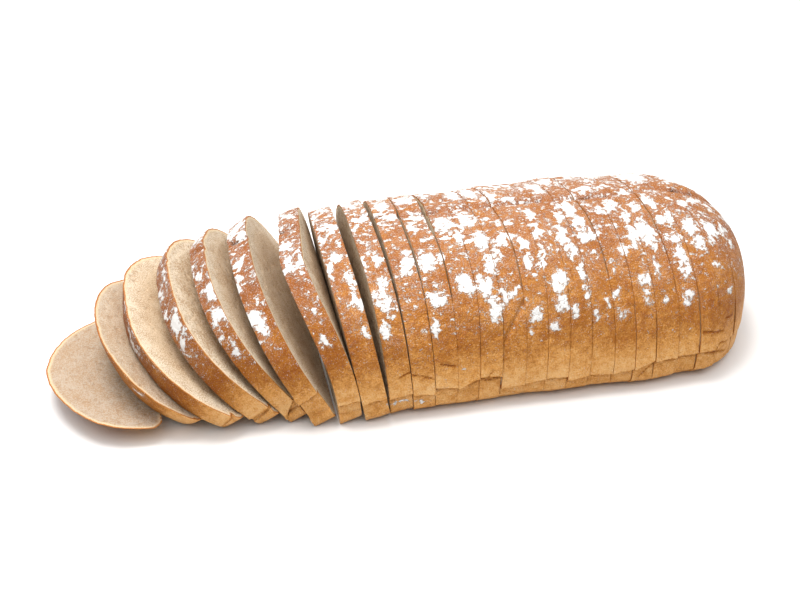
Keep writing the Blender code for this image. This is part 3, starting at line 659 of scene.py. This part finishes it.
def small_cracks(along, arc):
    """How deep a place lies in one of the short cracks, from 0 to 1."""
    depth = 0.0 * arc
    waver = SMALL_CRACK_WAVER * layered(along, 0.0 * along, *SMALL_CRACK_GRAIN)
    for line in SMALL_CRACKS:
        places = np.array(line) * MM
        if along.max() < places[0, 0] or along.min() > places[-1, 0]:
            continue
        middle = np.interp(along, places[:, 0], places[:, 1]) + waver
        open_by = between(along, places[0, 0], places[-1, 0], SMALL_CRACK_ENDS)
        depth = np.maximum(depth, open_by * bump(arc - middle, SMALL_CRACK_HALF_WIDTH))
    return depth


def torn_seam(along, arc):
    """Where a place lies across the seam's ragged line, and how far the seam gapes there."""
    jitter = strayed(0.0, along, arc, SEAM_STRAY)
    gape = smooth(GAPE_MEAN + GAPE_SWING * grain(along, 0.0 * arc, *GAPE_GRAIN))
    return arc - crease_arc(along) + MM * jitter, crease_strength(along) * gape


def crust_detail(along, arc, crack, dust):
    """Fine relief of the crust: wrinkles, dark cracks, torn seam, flour standing proud."""
    height = WRINKLE * layered(along, arc, *WRINKLE_GRAIN)
    height = height + FINE_WRINKLE * layered(along, arc, *FINE_WRINKLE_GRAIN, layers=2)
    seam, gape = torn_seam(along, arc)
    height = height - SEAM_GROOVE_DEPTH * gape * bump(seam, SEAM_GROOVE_HALF_WIDTH)
    flakes = np.maximum(grain(along, arc, *FLAKE_GRAIN) + 0.2, 0.0)
    flakes = flakes * smooth(seam / SEAM_GROOVE_HALF_WIDTH) * bump(seam, FLAKE_REACH)
    height = height + FLAKE * crease_strength(along) * flakes
    for above in above_cracks(along, arc, crack):
        groove = GROOVE_DEPTH * bump(above + GROOVE_HALF_WIDTH, GROOVE_HALF_WIDTH)
        height = height - crack_strength(along) * groove
    height = height - SMALL_CRACK_DEPTH * small_cracks(along, arc)
    return height + FLOUR_DEPTH * smooth((dust - FLOUR_FROM) / FLOUR_FROM)


# ---- the pieces ----


def start_of(index):
    """Distance of a piece's left cut from the left tip of the whole loaf."""
    return sum(piece.thickness + GAP for piece in PIECES[:index])


def lean_pair(index):
    """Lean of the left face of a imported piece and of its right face, which its neighbour shares."""
    left = PIECES[index].lean
    right = left
    if FIRST_PACKED <= index < LAST:
        right = PIECES[index + 1].lean
    return math.radians(left), math.radians(right)


def turned(index):
    """Rotation of a toppled piece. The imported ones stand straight."""
    piece = PIECES[index]
    if index >= FIRST_PACKED:
        return Euler((0.0, 0.0, math.radians(piece.turn)))
    return Euler((0.0, -math.radians(piece.lean), math.radians(piece.turn)))


def ring_depths(index):
    """Distances of a piece's rings from its left cut, closer together beside a cut."""
    thickness = PIECES[index].thickness
    beside = EDGE_STEPS[-1] + GRAIN / 2.0
    if index == 0:
        turns = np.linspace(LEFT_TIP_TURN, math.pi / 2.0, HEEL_LEFT_RINGS)
        depths = thickness * (1.0 - np.cos(turns))
        return np.concatenate([depths[depths < thickness - beside], thickness - EDGE_STEPS[::-1]])
    if index == LAST:
        turns = np.linspace(0.0, math.pi / 2.0 - RIGHT_TIP_TURN, HEEL_RIGHT_RINGS)
        depths = thickness * np.sin(turns)
        return np.concatenate([EDGE_STEPS, depths[depths > beside]])
    count = round((thickness - 2.0 * EDGE_STEPS[-1]) / GRAIN)
    inner = np.linspace(EDGE_STEPS[-1], thickness - EDGE_STEPS[-1], count + 1)[1:-1]
    return np.concatenate([EDGE_STEPS, inner, thickness - EDGE_STEPS[::-1]])


def stations(along, crack):
    """Arc places of one ring's points, with a close pair at each crack."""
    front = -side_arc(crack)
    back = side_arc(back_crack(along))
    pair = np.array([-CRACK_STEP, CRACK_STEP])
    below_front = np.linspace(-HALF_ARC, front - GRAIN, LOW_POINTS)
    over = np.linspace(front + GRAIN, back - GRAIN, OVER_POINTS)
    below_back = np.linspace(back + GRAIN, HALF_ARC, LOW_POINTS)
    return np.concatenate([below_front, front + pair, over, back + pair, below_back])


def opening(name, arc):
    """Half the width by which the cut right of a piece stands open, round the loaf."""
    width = np.zeros_like(arc)
    for piece_name, open_by, low, high in OPENINGS:
        if piece_name == name:
            width = width + open_by * MM * between(arc / MM, low, high, OPENING_ENDS) / 2.0
    return width


def uneven(index, arc):
    """How far the crust of one piece stands proud of its neighbours', round the loaf."""
    own = scatter(index, 0, UNEVEN_SEED) - 0.5
    return UNEVEN * (own + UNEVEN_SWING * grain(arc, 0.0 * arc, UNEVEN_SIZE, UNEVEN_SEED + 1 + index))


def edge_round(index, arc):
    """How round the edge beside a cut is worn, round the loaf."""
    return EDGE_ROUND * (EDGE_MEAN + EDGE_SWING * grain(arc, 0.0 * arc, EDGE_SIZE, EDGE_SEED + index))


def bend(name, y, z, top):
    """How far each place on a slice stands out to the right because the slice is bent."""
    rise = z / top
    back = np.clip((y - CURL_FROM) / CURL_LENGTH, 0.0, 1.0)
    bow = 4.0 * BOW.get(name, 0.0) * rise * (1.0 - rise)
    return bow + CURL.get(name, 0.0) * rise**3 * back


Shell = namedtuple("Shell", "name points place bake flour")


def crust_shell(index):
    """The crust of one piece as rings of points, unplaced, with what its finish needs."""
    piece = PIECES[index]
    depth = ring_depths(index)[:, None]
    along = start_of(index) + depth
    share = depth / piece.thickness
    crack = piece.crack_left + (piece.crack_right - piece.crack_left) * share
    crack = crack + CRACK_WAVER * layered(along, along * 0.0, *CRACK_GRAIN)
    arc = np.stack([stations(at, height) for at, height in zip(along[:, 0], crack[:, 0])])
    fold = FOLD_LEFT + (FOLD_RIGHT - FOLD_LEFT) * share if piece.name == FOLDED else None
    dust = dusting(along + 0.0 * arc, arc)
    out = relief(along, arc, crack, fold) + crust_detail(along, arc, crack, dust)
    from_cut = piece.thickness - depth if index == 0 else depth
    if 0 < index < LAST:
        from_cut = np.minimum(depth, piece.thickness - depth)
    worn = edge_round(index, arc)
    short = np.maximum(worn - from_cut, 0.0)
    out = out - (worn - np.sqrt(worn**2 - short**2))
    if index >= FIRST_PACKED:
        out = out + uneven(index, arc)
    y, z = section(along, arc, out, piece)
    base_share = np.linspace(0.0, 1.0, BASE_POINTS + 2)[1:-1]
    base_y = y[:, -1:] + (y[:, :1] - y[:, -1:]) * base_share
    base_z = z[:, -1:] + 0.0 * base_y
    y = np.concatenate([y, base_y], axis=1)
    z = np.concatenate([z, base_z], axis=1)
    blank = 0.0 * base_y
    x = depth + 0.0 * y
    x = x + bend(piece.name, y, z, z.max(axis=1, keepdims=True))
    if index >= FIRST_PACKED:
        left_lean, right_lean = lean_pair(index)
        close = CLOSE_UP * (2.0 * share - 1.0)
        x = x - z * ((1.0 - share) * math.tan(left_lean) + share * math.tan(right_lean))
        if index < LAST:
            x = x + close
    open_left = opening(PIECES[index - 1].name, arc) if index else 0.0 * arc
    open_right = opening(piece.name, arc)
    fall = np.exp(-depth / OPENING_DEPTH)
    rise = np.exp(-(piece.thickness - depth) / OPENING_DEPTH)
    moved = np.concatenate([open_left * fall - open_right * rise, blank], axis=1)
    points = np.stack([x + moved, y, z], axis=2)
    place = np.stack([along + 0.0 * y, y, z], axis=2)
    baked_and_shaded = np.concatenate([bake(along, arc, crack), blank + BAKE_BASE], axis=1)
    flour = np.concatenate([dust, blank], axis=1)
    return Shell(piece.name, points, place, baked_and_shaded, flour)


def inside(points, rim):
    """Which points lie inside a closed rim. Both are arrays of y and z."""
    ahead = np.roll(rim, -1, axis=0)
    crosses = (rim[None, :, 1] > points[:, None, 1]) != (ahead[None, :, 1] > points[:, None, 1])
    run = ahead - rim
    height = np.where(run[:, 1] == 0.0, 1.0, run[:, 1])
    where = rim[None, :, 0] + (points[:, None, 1] - rim[None, :, 1]) * run[:, 0] / height
    return (crosses & (points[:, None, 0] < where)).sum(axis=1) % 2 == 1


def face_points(rim, spacing):
    """Evenly spread points inside a rim, their distance from it and their nearest rim point."""
    rows = np.arange(rim[:, 1].min(), rim[:, 1].max(), spacing * math.sqrt(0.75))
    columns = np.arange(rim[:, 0].min(), rim[:, 0].max(), spacing)
    y, z = np.meshgrid(columns, rows)
    y = y + spacing / 2.0 * (np.arange(len(rows)) % 2)[:, None]
    points = np.stack([y.ravel(), z.ravel()], axis=1)
    points = points[inside(points, rim)]
    gaps = np.hypot(*(points[:, None, :] - rim[None, :, :]).transpose(2, 0, 1))
    far = gaps.min(axis=1)
    kept = far > RIM_CLEARANCE * min(spacing, GRAIN * 1.4)
    return points[kept], far[kept], gaps.argmin(axis=1)[kept]


def crumb_pits(points, far, seed):
    """How deep the crumb lies under its plain cut at each point: open pores and fine grain."""
    chance = np.random.default_rng(seed)
    middles = points[chance.integers(0, len(points), PORES)]
    sizes = chance.uniform(0.0, 1.0, PORES) ** 2
    sizes = PORE_SIZES[0] + (PORE_SIZES[1] - PORE_SIZES[0]) * sizes
    stretch = chance.uniform(*PORE_STRETCH, PORES)
    depth = np.zeros(len(points))
    for middle, size, long in zip(middles, sizes, stretch):
        off = (points - middle) / (size * np.array([long, 1.0 / long]))
        depth = np.maximum(depth, size * PORE_DEPTH * np.exp(-(off**2).sum(axis=1)))
    depth = depth + CRUMB_ROUGH * layered(*points.T, CRUMB_ROUGH_SIZE, seed + 1)
    return depth * smooth((far - PITS_FROM) / PITS_FADE)


def fill_face(shell, right, spacing, seed):
    """One cut face: its inner points, their places, distances from the crust, triangles."""
    row = -1 if right else 0
    rim = shell.points[row]
    flat = rim[:, 1:]
    points, far, nearest = face_points(flat, spacing)
    corners = [Vector(point) for point in np.concatenate([flat, points])]
    border = [(start, (start + 1) % len(flat)) for start in range(len(flat))]
    filled = delaunay_2d_cdt(corners, border, [], 1, WELD)
    original = [ids[0] if ids else -1 for ids in filled[3]]
    triangles = np.array([[original[corner] for corner in face] for face in filled[2]])
    top = flat[:, 1].max()
    straight = rim[:, 0] - bend(shell.name, flat[:, 0], flat[:, 1], top)
    slope = np.polyfit(flat[:, 1], straight, 1)
    rim_off = straight - np.polyval(slope, flat[:, 1])
    x = np.polyval(slope, points[:, 1]) + bend(shell.name, points[:, 0], points[:, 1], top)
    x = x + rim_off[nearest] * np.exp(-far / RIM_FADE)
    pits = crumb_pits(points, far, seed) if spacing < HIDDEN_GRAIN else 0.0 * far
    x = x - pits if right else x + pits
    inner = np.stack([x, points[:, 0], points[:, 1]], axis=1)
    place = np.stack([0.0 * x + shell.place[row, 0, 0], points[:, 0], points[:, 1]], axis=1)
    return inner, place, far, pits, triangles if right else triangles[:, ::-1]


def face_spacing(index, right):
    """How finely a cut face is meshed: by how well it can be seen."""
    if index == 0:
        return HEEL_GRAIN
    if index < FIRST_PACKED - 1 or (index == FIRST_PACKED - 1 and right):
        return FACE_GRAIN if right else SIDE_GRAIN
    if index <= FIRST_PACKED + 2:
        return SIDE_GRAIN
    return HIDDEN_GRAIN


def piece_mesh(index):
    """All points, faces, finishes and measures of one piece, before it is placed."""
    shell = crust_shell(index)
    rings, count = shell.points.shape[:2]
    points = [shell.points.reshape(-1, 3)]
    places = [shell.place.reshape(-1, 3)]
    baked_and_shaded = [shell.bake.ravel()]
    flour = [shell.flour.ravel()]
    rim = [np.zeros(rings * count)]
    pits = [np.zeros(rings * count)]
    here = np.arange(rings * count).reshape(rings, count)
    ahead = np.roll(here, -1, axis=1)
    quads = np.stack([here[:-1], here[1:], ahead[1:], ahead[:-1]], axis=2).reshape(-1, 4)
    triangles = []
    total = rings * count
    for right, row in ((False, 0), (True, rings - 1)):
        if (index == 0 and not right) or (index == LAST and right):
            middle = np.full(count, total)
            points.append(shell.points[row].mean(axis=0)[None, :])
            places.append(shell.place[row].mean(axis=0)[None, :])
            fan = [here[row], middle, ahead[row]] if right else [here[row], ahead[row], middle]
            triangles.append((np.stack(fan, axis=1), 0))
            extra = [np.array([shell.bake[row].mean()]), np.array([shell.flour[row].mean()])]
            extra += [np.zeros(1), np.zeros(1)]
        else:
            spacing = face_spacing(index, right)
            inner, place, far, deep, faces = fill_face(shell, right, spacing, 2 * index + right)
            points.append(inner)
            places.append(place)
            numbers = np.concatenate([here[row], total + np.arange(len(inner))])
            triangles.append((numbers[faces], 1))
            extra = [0.0 * far, 0.0 * far, far, deep]
        for store, values in zip((baked_and_shaded, flour, rim, pits), extra):
            store.append(values)
        total += len(points[-1])
    measures = {"bake": baked_and_shaded, "flour": flour, "rim": rim, "pit": pits}
    measures = {name: np.concatenate(values) for name, values in measures.items()}
    return np.concatenate(points), np.concatenate(places), measures, quads, triangles


def seat(points, name):
    """Shift that puts points where their node stands in the frame."""
    low, high = (np.array(corner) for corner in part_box(name))
    middle = (low + high) / 2.0 - (points.min(axis=0) + points.max(axis=0)) / 2.0
    return np.array([middle[0], middle[1], low[2] - points[:, 2].min()])


def make_piece(index, crust, crumb):
    """Build one piece in its place, with its measures stored for the finishes."""
    piece = PIECES[index]
    points, places, measures, quads, triangles = piece_mesh(index)
    points = points @ np.array(turned(index).to_matrix()).T
    points = points + seat(points, piece.name)
    faces = quads.tolist()
    finishes = [0] * len(faces)
    for group, finish in triangles:
        faces += group.tolist()
        finishes += [finish] * len(group)
    mesh = bpy.data.meshes.new(piece.name + "_fine")
    mesh.from_pydata(points.tolist(), [], faces)
    mesh.materials.append(crust)
    mesh.materials.append(crumb)
    mesh.polygons.foreach_set("material_index", finishes)
    mesh.polygons.foreach_set("use_smooth", [True] * len(faces))
    mesh.set_sharp_from_angle(angle=SHARP)
    place = mesh.attributes.new("loaf_place", "FLOAT_VECTOR", "POINT")
    place.data.foreach_set("vector", places.astype(np.float32).ravel())
    measures["piece"] = np.full(len(points), DRYNESS.get(piece.name, USUAL_DRYNESS))
    for name, values in measures.items():
        stored = mesh.attributes.new(name, "FLOAT", "POINT")
        stored.data.foreach_set("value", values.astype(np.float32))
    mesh.update()
    made = bpy.data.objects.new(piece.name + "_bread", mesh)
    bpy.context.scene.collection.objects.link(made)
    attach(made, BODY)
    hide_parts(piece.name)
    return made


# ---- finishes ----


CRUST_LIGHT = 1.5  # how bright white crust would look on the stage
CRUMB_LIGHT = 1.3  # the same for crumb


class Flow:
    """A socket's value in a finish, so that masks read as plain sums."""

    def __init__(self, finish, socket):
        self.finish = finish
        self.socket = socket

    def __add__(self, other):
        return self.finish.maths("ADD", self, other)

    __radd__ = __add__

    def __sub__(self, other):
        return self.finish.maths("SUBTRACT", self, other)

    def __rsub__(self, other):
        return self.finish.maths("SUBTRACT", other, self)

    def __mul__(self, other):
        return self.finish.maths("MULTIPLY", self, other)

    __rmul__ = __mul__

    def __truediv__(self, other):
        return self.finish.maths("DIVIDE", self, other)


class Finish:
    """One material and the nodes that are added to it."""

    def __init__(self, name, roughness):
        self.material = bpy.data.materials.new(name)
        self.material.use_nodes = True
        self.nodes = self.material.node_tree.nodes
        self.links = self.material.node_tree.links
        self.surface = self.nodes["Principled BSDF"]
        self.surface.inputs["Roughness"].default_value = roughness

    def feed(self, socket, value):
        """Link a flow to a socket, or set the socket to a number or colour."""
        if isinstance(value, Flow):
            self.links.new(value.socket, socket)
        else:
            socket.default_value = value

    def add(self, kind, settings, values, output=0):
        """One node: its type, its settings, then the values or links of its sockets."""
        node = self.nodes.new(kind)
        for name, setting in settings.items():
            if name == "stops":
                set_stops(node.color_ramp, setting)
            else:
                setattr(node, name, setting)
        for key, value in values.items():
            self.feed(node.inputs[key], value)
        return Flow(self, node.outputs[output])

    def maths(self, operation, first, second):
        """One Math node."""
        return self.add("ShaderNodeMath", {"operation": operation}, {0: first, 1: second})

    def measure(self, name):
        """A measure that is stored on the mesh."""
        return self.add("ShaderNodeAttribute", {"attribute_name": name}, {}, "Fac")

    def place(self):
        """The place on the whole loaf before it was cut."""
        return self.add("ShaderNodeAttribute", {"attribute_name": "loaf_place"}, {}, "Vector")

    def noise(self, place, size, detail=2.0, rough=0.5):
        """Cloudy noise from 0 to 1 with lumps about as large as the size given."""
        values = {"Vector": place, "Scale": 1.0 / size, "Detail": detail, "Roughness": rough}
        return self.add("ShaderNodeTexNoise", {}, values, "Fac")

    def ease(self, value, low, high):
        """Ease from 0 to 1 while the value goes from low to high."""
        values = {"Value": value, "From Min": low, "From Max": high}
        return self.add("ShaderNodeMapRange", {"interpolation_type": "SMOOTHSTEP"}, values)

    def ramp(self, value, stops):
        """Colour by a value."""
        return self.add("ShaderNodeValToRGB", {"stops": stops}, {0: value})

    def mix(self, share, first, second):
        """From one colour to another."""
        return self.add("ShaderNodeMix", {"data_type": "RGBA"}, {0: share, 6: first, 7: second}, 2)

    def bumped(self, height, distance, strength):
        """Surface direction bent by a height."""
        values = {"Height": height, "Distance": distance, "Strength": strength}
        return self.add("ShaderNodeBump", {}, values)

    def put(self, name, value):
        """Feed one socket of the surface."""
        self.feed(self.surface.inputs[name], value)


def set_stops(ramp, stops):
    """Give a colour ramp its stops, as pairs of place and colour."""
    while len(ramp.elements) < len(stops):
        ramp.elements.new(1.0)
    for element, (position, colour) in zip(ramp.elements, stops):
        element.position = position
        element.color = colour


def tint(red, green, blue, light=1.0):
    """A colour from its screen values of 0 to 255, as they look under the light given."""
    parts = [value / 255.0 for value in (red, green, blue)]
    linear = [part / 12.92 if part <= 0.04045 else ((part + 0.055) / 1.055) ** 2.4 for part in parts]
    return (*(part / light for part in linear), 1.0)


def crust_tint(red, green, blue):
    """A crust colour, given as it looks under the stage's light."""
    return tint(red, green, blue, CRUST_LIGHT)


def crumb_tint(red, green, blue):
    """A crumb colour, given as it looks under the stage's light."""
    return tint(red, green, blue, CRUMB_LIGHT)


# The two darkest crust colours: the darkest real bake, and the painted shade in the seam, in the
# short cracks and under the crack lips.
SCORCHED_AND_SHADE = crust_tint(148, 80, 26)
BURNT_AND_SHADE = crust_tint(92, 50, 28)


def crust_finish(settings):
    """Baked crust with flour on it, and painted shade in its seam and cracks."""
    finish = Finish("floured crust", 0.55)
    place = finish.place()
    fine = finish.noise(place, 0.8 * MM, 3.0, 0.65)
    middling = finish.noise(place, 3.2 * MM, 3.0, 0.6)
    ragged = finish.noise(place, 3.0 * MM, 6.0, 0.72)
    speck = finish.noise(place, 0.62 * MM, 1.0)
    # The bake measure holds the real bake and the painted shade of the seam, the short cracks and the
    # crack lips.
    baked_and_shaded = finish.measure("bake") + 0.55 * (fine - 0.5) + 0.45 * (middling - 0.5)
    stops = (
        (0.0, tuple(settings.pale)),
        (0.2, tuple(settings.golden)),
        (0.42, tuple(settings.brown)),
        (0.62, tuple(settings.deep)),
        (0.82, SCORCHED_AND_SHADE),
        (1.0, BURNT_AND_SHADE),
    )
    crust = finish.ramp(baked_and_shaded, stops)
    flour = finish.measure("flour")
    veil = finish.ease(flour + 0.8 * (middling - 0.5), 0.02, 0.6) * settings.veil_cover
    dots = finish.ease(speck + 0.4 * flour + 0.4 * (ragged - 0.5), 0.66, 0.74) * settings.dots
    heap = flour + 2.6 * (ragged - 0.5) + 0.4 * (speck - 0.5)
    cover = finish.ease(heap, 0.45, 0.6) * settings.flour
    veiled = finish.mix(veil, crust, tuple(settings.veil))
    dotted = finish.mix(dots, veiled, tuple(settings.white))
    finish.put("Base Color", finish.mix(cover, dotted, tuple(settings.white)))
    finish.put("Roughness", 0.5 + 0.12 * middling + 0.35 * cover)
    height = fine * 0.8 + speck * 0.4 + middling * 2.0 + cover * 0.7
    finish.put("Normal", finish.bumped(height, 0.6 * MM, 0.9))
    finish.put("Specular IOR Level", 0.15)
    return finish.material


def crumb_finish(settings):
    """Open crumb of a cut face, golden for a hair's breadth at the crust, with painted shade in its
    pores and partly painted shade towards the middle.
    """
    finish = Finish("crumb", 0.85)
    place = finish.place()
    fine = finish.noise(place, 0.75 * MM, 3.0, 0.7)
    holes = finish.noise(place, 1.5 * MM, 4.0, 0.7)
    broad = finish.noise(place, 9.0 * MM, 2.0)
    rim = finish.measure("rim") / MM
    # Away from the crust the crumb turns a darker tan: partly its own tone, partly painted shade for
    # how the faces darken deep between the slices.
    inner = finish.ease(rim + 6.0 * (broad - 0.5), 3.0, 16.0)
    fresh = finish.mix(inner, tuple(settings.cream), tuple(settings.heart_and_shade))
    pale = finish.mix(finish.measure("piece"), fresh, tuple(settings.dry))
    grainy = finish.ease(fine + 0.3 * (broad - 0.5), 0.4, 0.56)
    crumb = finish.mix(0.2 + 0.8 * grainy, tuple(settings.shade), pale)
    # Painted shade in the pores: dark spots where the noise opens pores, and darker where the crumb's
    # pits lie deep.
    open_pore_shade = finish.ease(holes, 0.66, 0.74) * 0.4
    pore_shade = finish.ease(finish.measure("pit") / MM, 0.15, 0.6) * 0.4
    pore_shade = finish.maths("MAXIMUM", open_pore_shade, pore_shade)
    crumb = finish.mix(pore_shade, crumb, tuple(settings.pore_shade))
    edge = finish.ease(rim + 1.2 * (fine - 0.5), 0.4, 1.3)
    warm = finish.ease(rim + 1.5 * (broad - 0.5), 0.9, 3.0)
    crumb = finish.mix(0.3 + 0.7 * warm, tuple(settings.under_crust), crumb)
    finish.put("Base Color", finish.mix(edge, tuple(settings.rim), crumb))
    finish.put("Normal", finish.bumped(fine + holes, 0.45 * MM, 0.8))
    finish.put("Specular IOR Level", 0.2)
    return finish.material


def shared(maker, name, settings):
    """A finish that all pieces share, made when it is first asked for."""
    return bpy.data.materials.get(name) or maker(settings)


# ---- what a user would change ----


def colour(name, description, default):
    """One colour property."""
    return bpy.props.FloatVectorProperty(
        name=name, description=description, default=default, subtype="COLOR", size=4, min=0.0, max=1.0
    )


def fraction(name, description, default):
    """One property from 0 to 1."""
    return bpy.props.FloatProperty(
        name=name, description=description, default=default, subtype="FACTOR", min=0.0, max=1.0
    )


class LOAF_PG_crust(bpy.types.PropertyGroup):
    """Colours of the crust and its flour."""

    pale: colour("Pale crust", "Crust low on the sides", tint(224, 176, 116, 1.02))
    golden: colour("Golden crust", "Crust over the side crack", tint(212, 151, 80, 1.08))
    brown: colour("Brown crust", "Crust over most of the loaf", crust_tint(199, 126, 48))
    deep: colour("Deep crust", "Crust where it baked longest", crust_tint(168, 91, 20))
    white: colour("Flour", "Flour where it lies thick", tint(226, 224, 221))
    veil: colour("Flour veil", "Flour where it is only a film", crust_tint(238, 204, 168))
    flour: fraction("Flour", "How fully flour hides the crust", 0.97)
    dots: fraction("Specks", "How fully single specks hide it", 0.25)
    veil_cover: fraction("Film", "How much a film of flour hides it", 0.14)


class LOAF_PG_crumb(bpy.types.PropertyGroup):
    """Colours of the cut faces."""

    cream: colour("Cream crumb", "Fresh crumb near the crust", crumb_tint(247, 231, 205))
    # Darker middle crumb: partly its own tone, partly painted shade.
    heart_and_shade: colour("Inner crumb", "Fresh crumb in the middle", crumb_tint(234, 208, 174))
    dry: colour("Dry crumb", "Crumb of the left heel", crumb_tint(200, 181, 160))
    shade: colour("Crumb grain", "Small hollows between the crumb's walls", crumb_tint(180, 142, 102))
    # Painted shade inside the pores.
    pore_shade: colour("Pores", "Open pores of the crumb", crumb_tint(160, 122, 86))
    under_crust: colour("Under the crust", "Crumb right under the crust", crumb_tint(250, 226, 184))
    rim: colour("Rim", "Edge of the crust on a cut face", crumb_tint(186, 116, 52))


class LOAF_PG_stage(bpy.types.PropertyGroup):
    """Floor, light and camera."""

    floor: colour("Floor", "Colour of the plain floor", (0.76, 0.75, 0.74, 1.0))
    sky: bpy.props.FloatProperty(
        name="Sky", description="Strength of the light from all round", default=0.32, min=0.0
    )
    ceiling: bpy.props.FloatProperty(
        name="Ceiling", description="Power of the wide lamp overhead", default=43.0, min=0.0,
        subtype="POWER",
    )
    key: bpy.props.FloatProperty(
        name="Key", description="Power of the lamp above", default=9.5, min=0.0, subtype="POWER"
    )
    lens: bpy.props.FloatProperty(
        name="Lens", description="Focal length", default=44.4, min=10.0, subtype="DISTANCE_CAMERA"
    )
    distance: bpy.props.FloatProperty(
        name="Distance", description="From the camera to its target", default=0.63, unit="LENGTH"
    )


class BreadOperator:
    """What the operators that cut bread have in common."""

    bl_options = {"REGISTER", "UNDO"}
    indices = ()

    def execute(self, context):
        crust = shared(crust_finish, "floured crust", context.scene.loaf_crust)
        crumb = shared(crumb_finish, "crumb", context.scene.loaf_crumb)
        for index in self.indices:
            make_piece(index, crust, crumb)
        return {"FINISHED"}


class LOAF_OT_heels(BreadOperator, bpy.types.Operator):
    """Make both heels, the left one lying on its dome and the right one upright"""

    bl_idname = "loaf.make_heels"
    bl_label = "Heels"
    indices = (0, LAST)


class LOAF_OT_toppled(BreadOperator, bpy.types.Operator):
    """Make the slices that have toppled to the left, each one against the next"""

    bl_idname = "loaf.make_toppled"
    bl_label = "Toppled slices"
    indices = tuple(range(1, FIRST_PACKED))


class LOAF_OT_packed(BreadOperator, bpy.types.Operator):
    """Make the slices that still stand close together"""

    bl_idname = "loaf.make_packed"
    bl_label = "Packed slices"
    indices = tuple(range(FIRST_PACKED, LAST))


VIEW_AZIMUTH = math.radians(11.70)
VIEW_ELEVATION = math.radians(34.08)
VIEW_TARGET = Vector((0.00264, 0.03278, 0.0))
SENSOR = 36.0
FLOOR_SIZE = 8.0
CEILING_PLACE = Vector((0.0, 0.0, 1.4))
CEILING_SIZE = 3.0
KEY_PLACE = Vector((-0.2, 0.15, 1.0))
KEY_SIZE = 0.5


class LOAF_OT_stage(bpy.types.Operator):
    """Lay the floor and set the lights and the camera"""

    bl_idname = "loaf.set_stage"
    bl_label = "Stage"
    bl_options = {"REGISTER", "UNDO"}

    def execute(self, context):
        settings = context.scene.loaf_stage
        lay_floor(settings)
        light_stage(context.scene, settings)
        aim_camera(context.scene, settings)
        return {"FINISHED"}


def lay_floor(settings):
    """A plain pale floor."""
    half = FLOOR_SIZE / 2.0
    corners = [(-half, -half, 0.0), (half, -half, 0.0), (half, half, 0.0), (-half, half, 0.0)]
    mesh = bpy.data.meshes.new("floor")
    mesh.from_pydata(corners, [], [(0, 1, 2, 3)])
    finish = Finish("floor", 0.8)
    finish.put("Base Color", tuple(settings.floor))
    finish.put("Specular IOR Level", 0.0)
    mesh.materials.append(finish.material)
    floor = bpy.data.objects.new("floor", mesh)
    bpy.context.scene.collection.objects.link(floor)


def hang_lamp(scene, name, place, size, power):
    """One large round lamp that shines on the middle of the floor."""
    lamp = bpy.data.lights.new(name, "AREA")
    lamp.shape = "DISK"
    lamp.size = size
    lamp.energy = power
    hung = bpy.data.objects.new(name, lamp)
    scene.collection.objects.link(hung)
    hung.location = place
    hung.rotation_euler = (-place).to_track_quat("-Z", "Y").to_euler()


def light_stage(scene, settings):
    """Even light from all round, a wide lamp overhead and a smaller one that casts shadows."""
    world = bpy.data.worlds.new("studio")
    world.use_nodes = True
    background = world.node_tree.nodes["Background"]
    background.inputs["Color"].default_value = (1.0, 1.0, 1.0, 1.0)
    background.inputs["Strength"].default_value = settings.sky
    scene.world = world
    hang_lamp(scene, "ceiling", CEILING_PLACE, CEILING_SIZE, settings.ceiling)
    hang_lamp(scene, "key", KEY_PLACE, KEY_SIZE, settings.key)
    scene.view_settings.view_transform = "Standard"


def aim_camera(scene, settings):
    """The camera, aimed as the loaf is seen."""
    flat = math.cos(VIEW_ELEVATION)
    ahead = Vector(
        (
            math.sin(VIEW_AZIMUTH) * flat,
            math.cos(VIEW_AZIMUTH) * flat,
            -math.sin(VIEW_ELEVATION),
        )
    )
    camera = bpy.data.objects.new("camera", bpy.data.cameras.new("camera"))
    camera.data.lens = settings.lens
    camera.data.sensor_width = SENSOR
    camera.location = VIEW_TARGET - settings.distance * ahead
    camera.rotation_euler = ahead.to_track_quat("-Z", "Y").to_euler()
    scene.collection.objects.link(camera)
    scene.camera = camera


OPERATORS = (LOAF_OT_heels, LOAF_OT_toppled, LOAF_OT_packed, LOAF_OT_stage)


class LOAF_PT_sidebar(bpy.types.Panel):
    """Lists what the loaf is made of"""

    bl_idname = "LOAF_PT_sidebar"
    bl_label = "Sourdough loaf"
    bl_space_type = "VIEW_3D"
    bl_region_type = "UI"
    bl_category = "Loaf"

    def draw(self, context):
        for group in ("loaf_crust", "loaf_crumb", "loaf_stage"):
            settings = getattr(context.scene, group)
            box = self.layout.box()
            for name in settings.__annotations__:
                box.prop(settings, name)
        for operator in OPERATORS:
            self.layout.operator(operator.bl_idname)


GROUPS = {"loaf_crust": LOAF_PG_crust, "loaf_crumb": LOAF_PG_crumb, "loaf_stage": LOAF_PG_stage}


def register():
    """Make the settings, the operators and the panel known to Blender."""
    for name, group in GROUPS.items():
        bpy.utils.register_class(group)
        setattr(bpy.types.Scene, name, bpy.props.PointerProperty(type=group))
    for operator in OPERATORS:
        bpy.utils.register_class(operator)
    bpy.utils.register_class(LOAF_PT_sidebar)


def unregister():
    """Take them back."""
    bpy.utils.unregister_class(LOAF_PT_sidebar)
    for operator in reversed(OPERATORS):
        bpy.utils.unregister_class(operator)
    for name, group in GROUPS.items():
        delattr(bpy.types.Scene, name)
        bpy.utils.unregister_class(group)


def main():
    """Build everything in order."""
    register()
    bpy.ops.loaf.make_heels()
    bpy.ops.loaf.make_toppled()
    bpy.ops.loaf.make_packed()
    bpy.ops.loaf.set_stage()


if __name__ == "__main__":
    main()
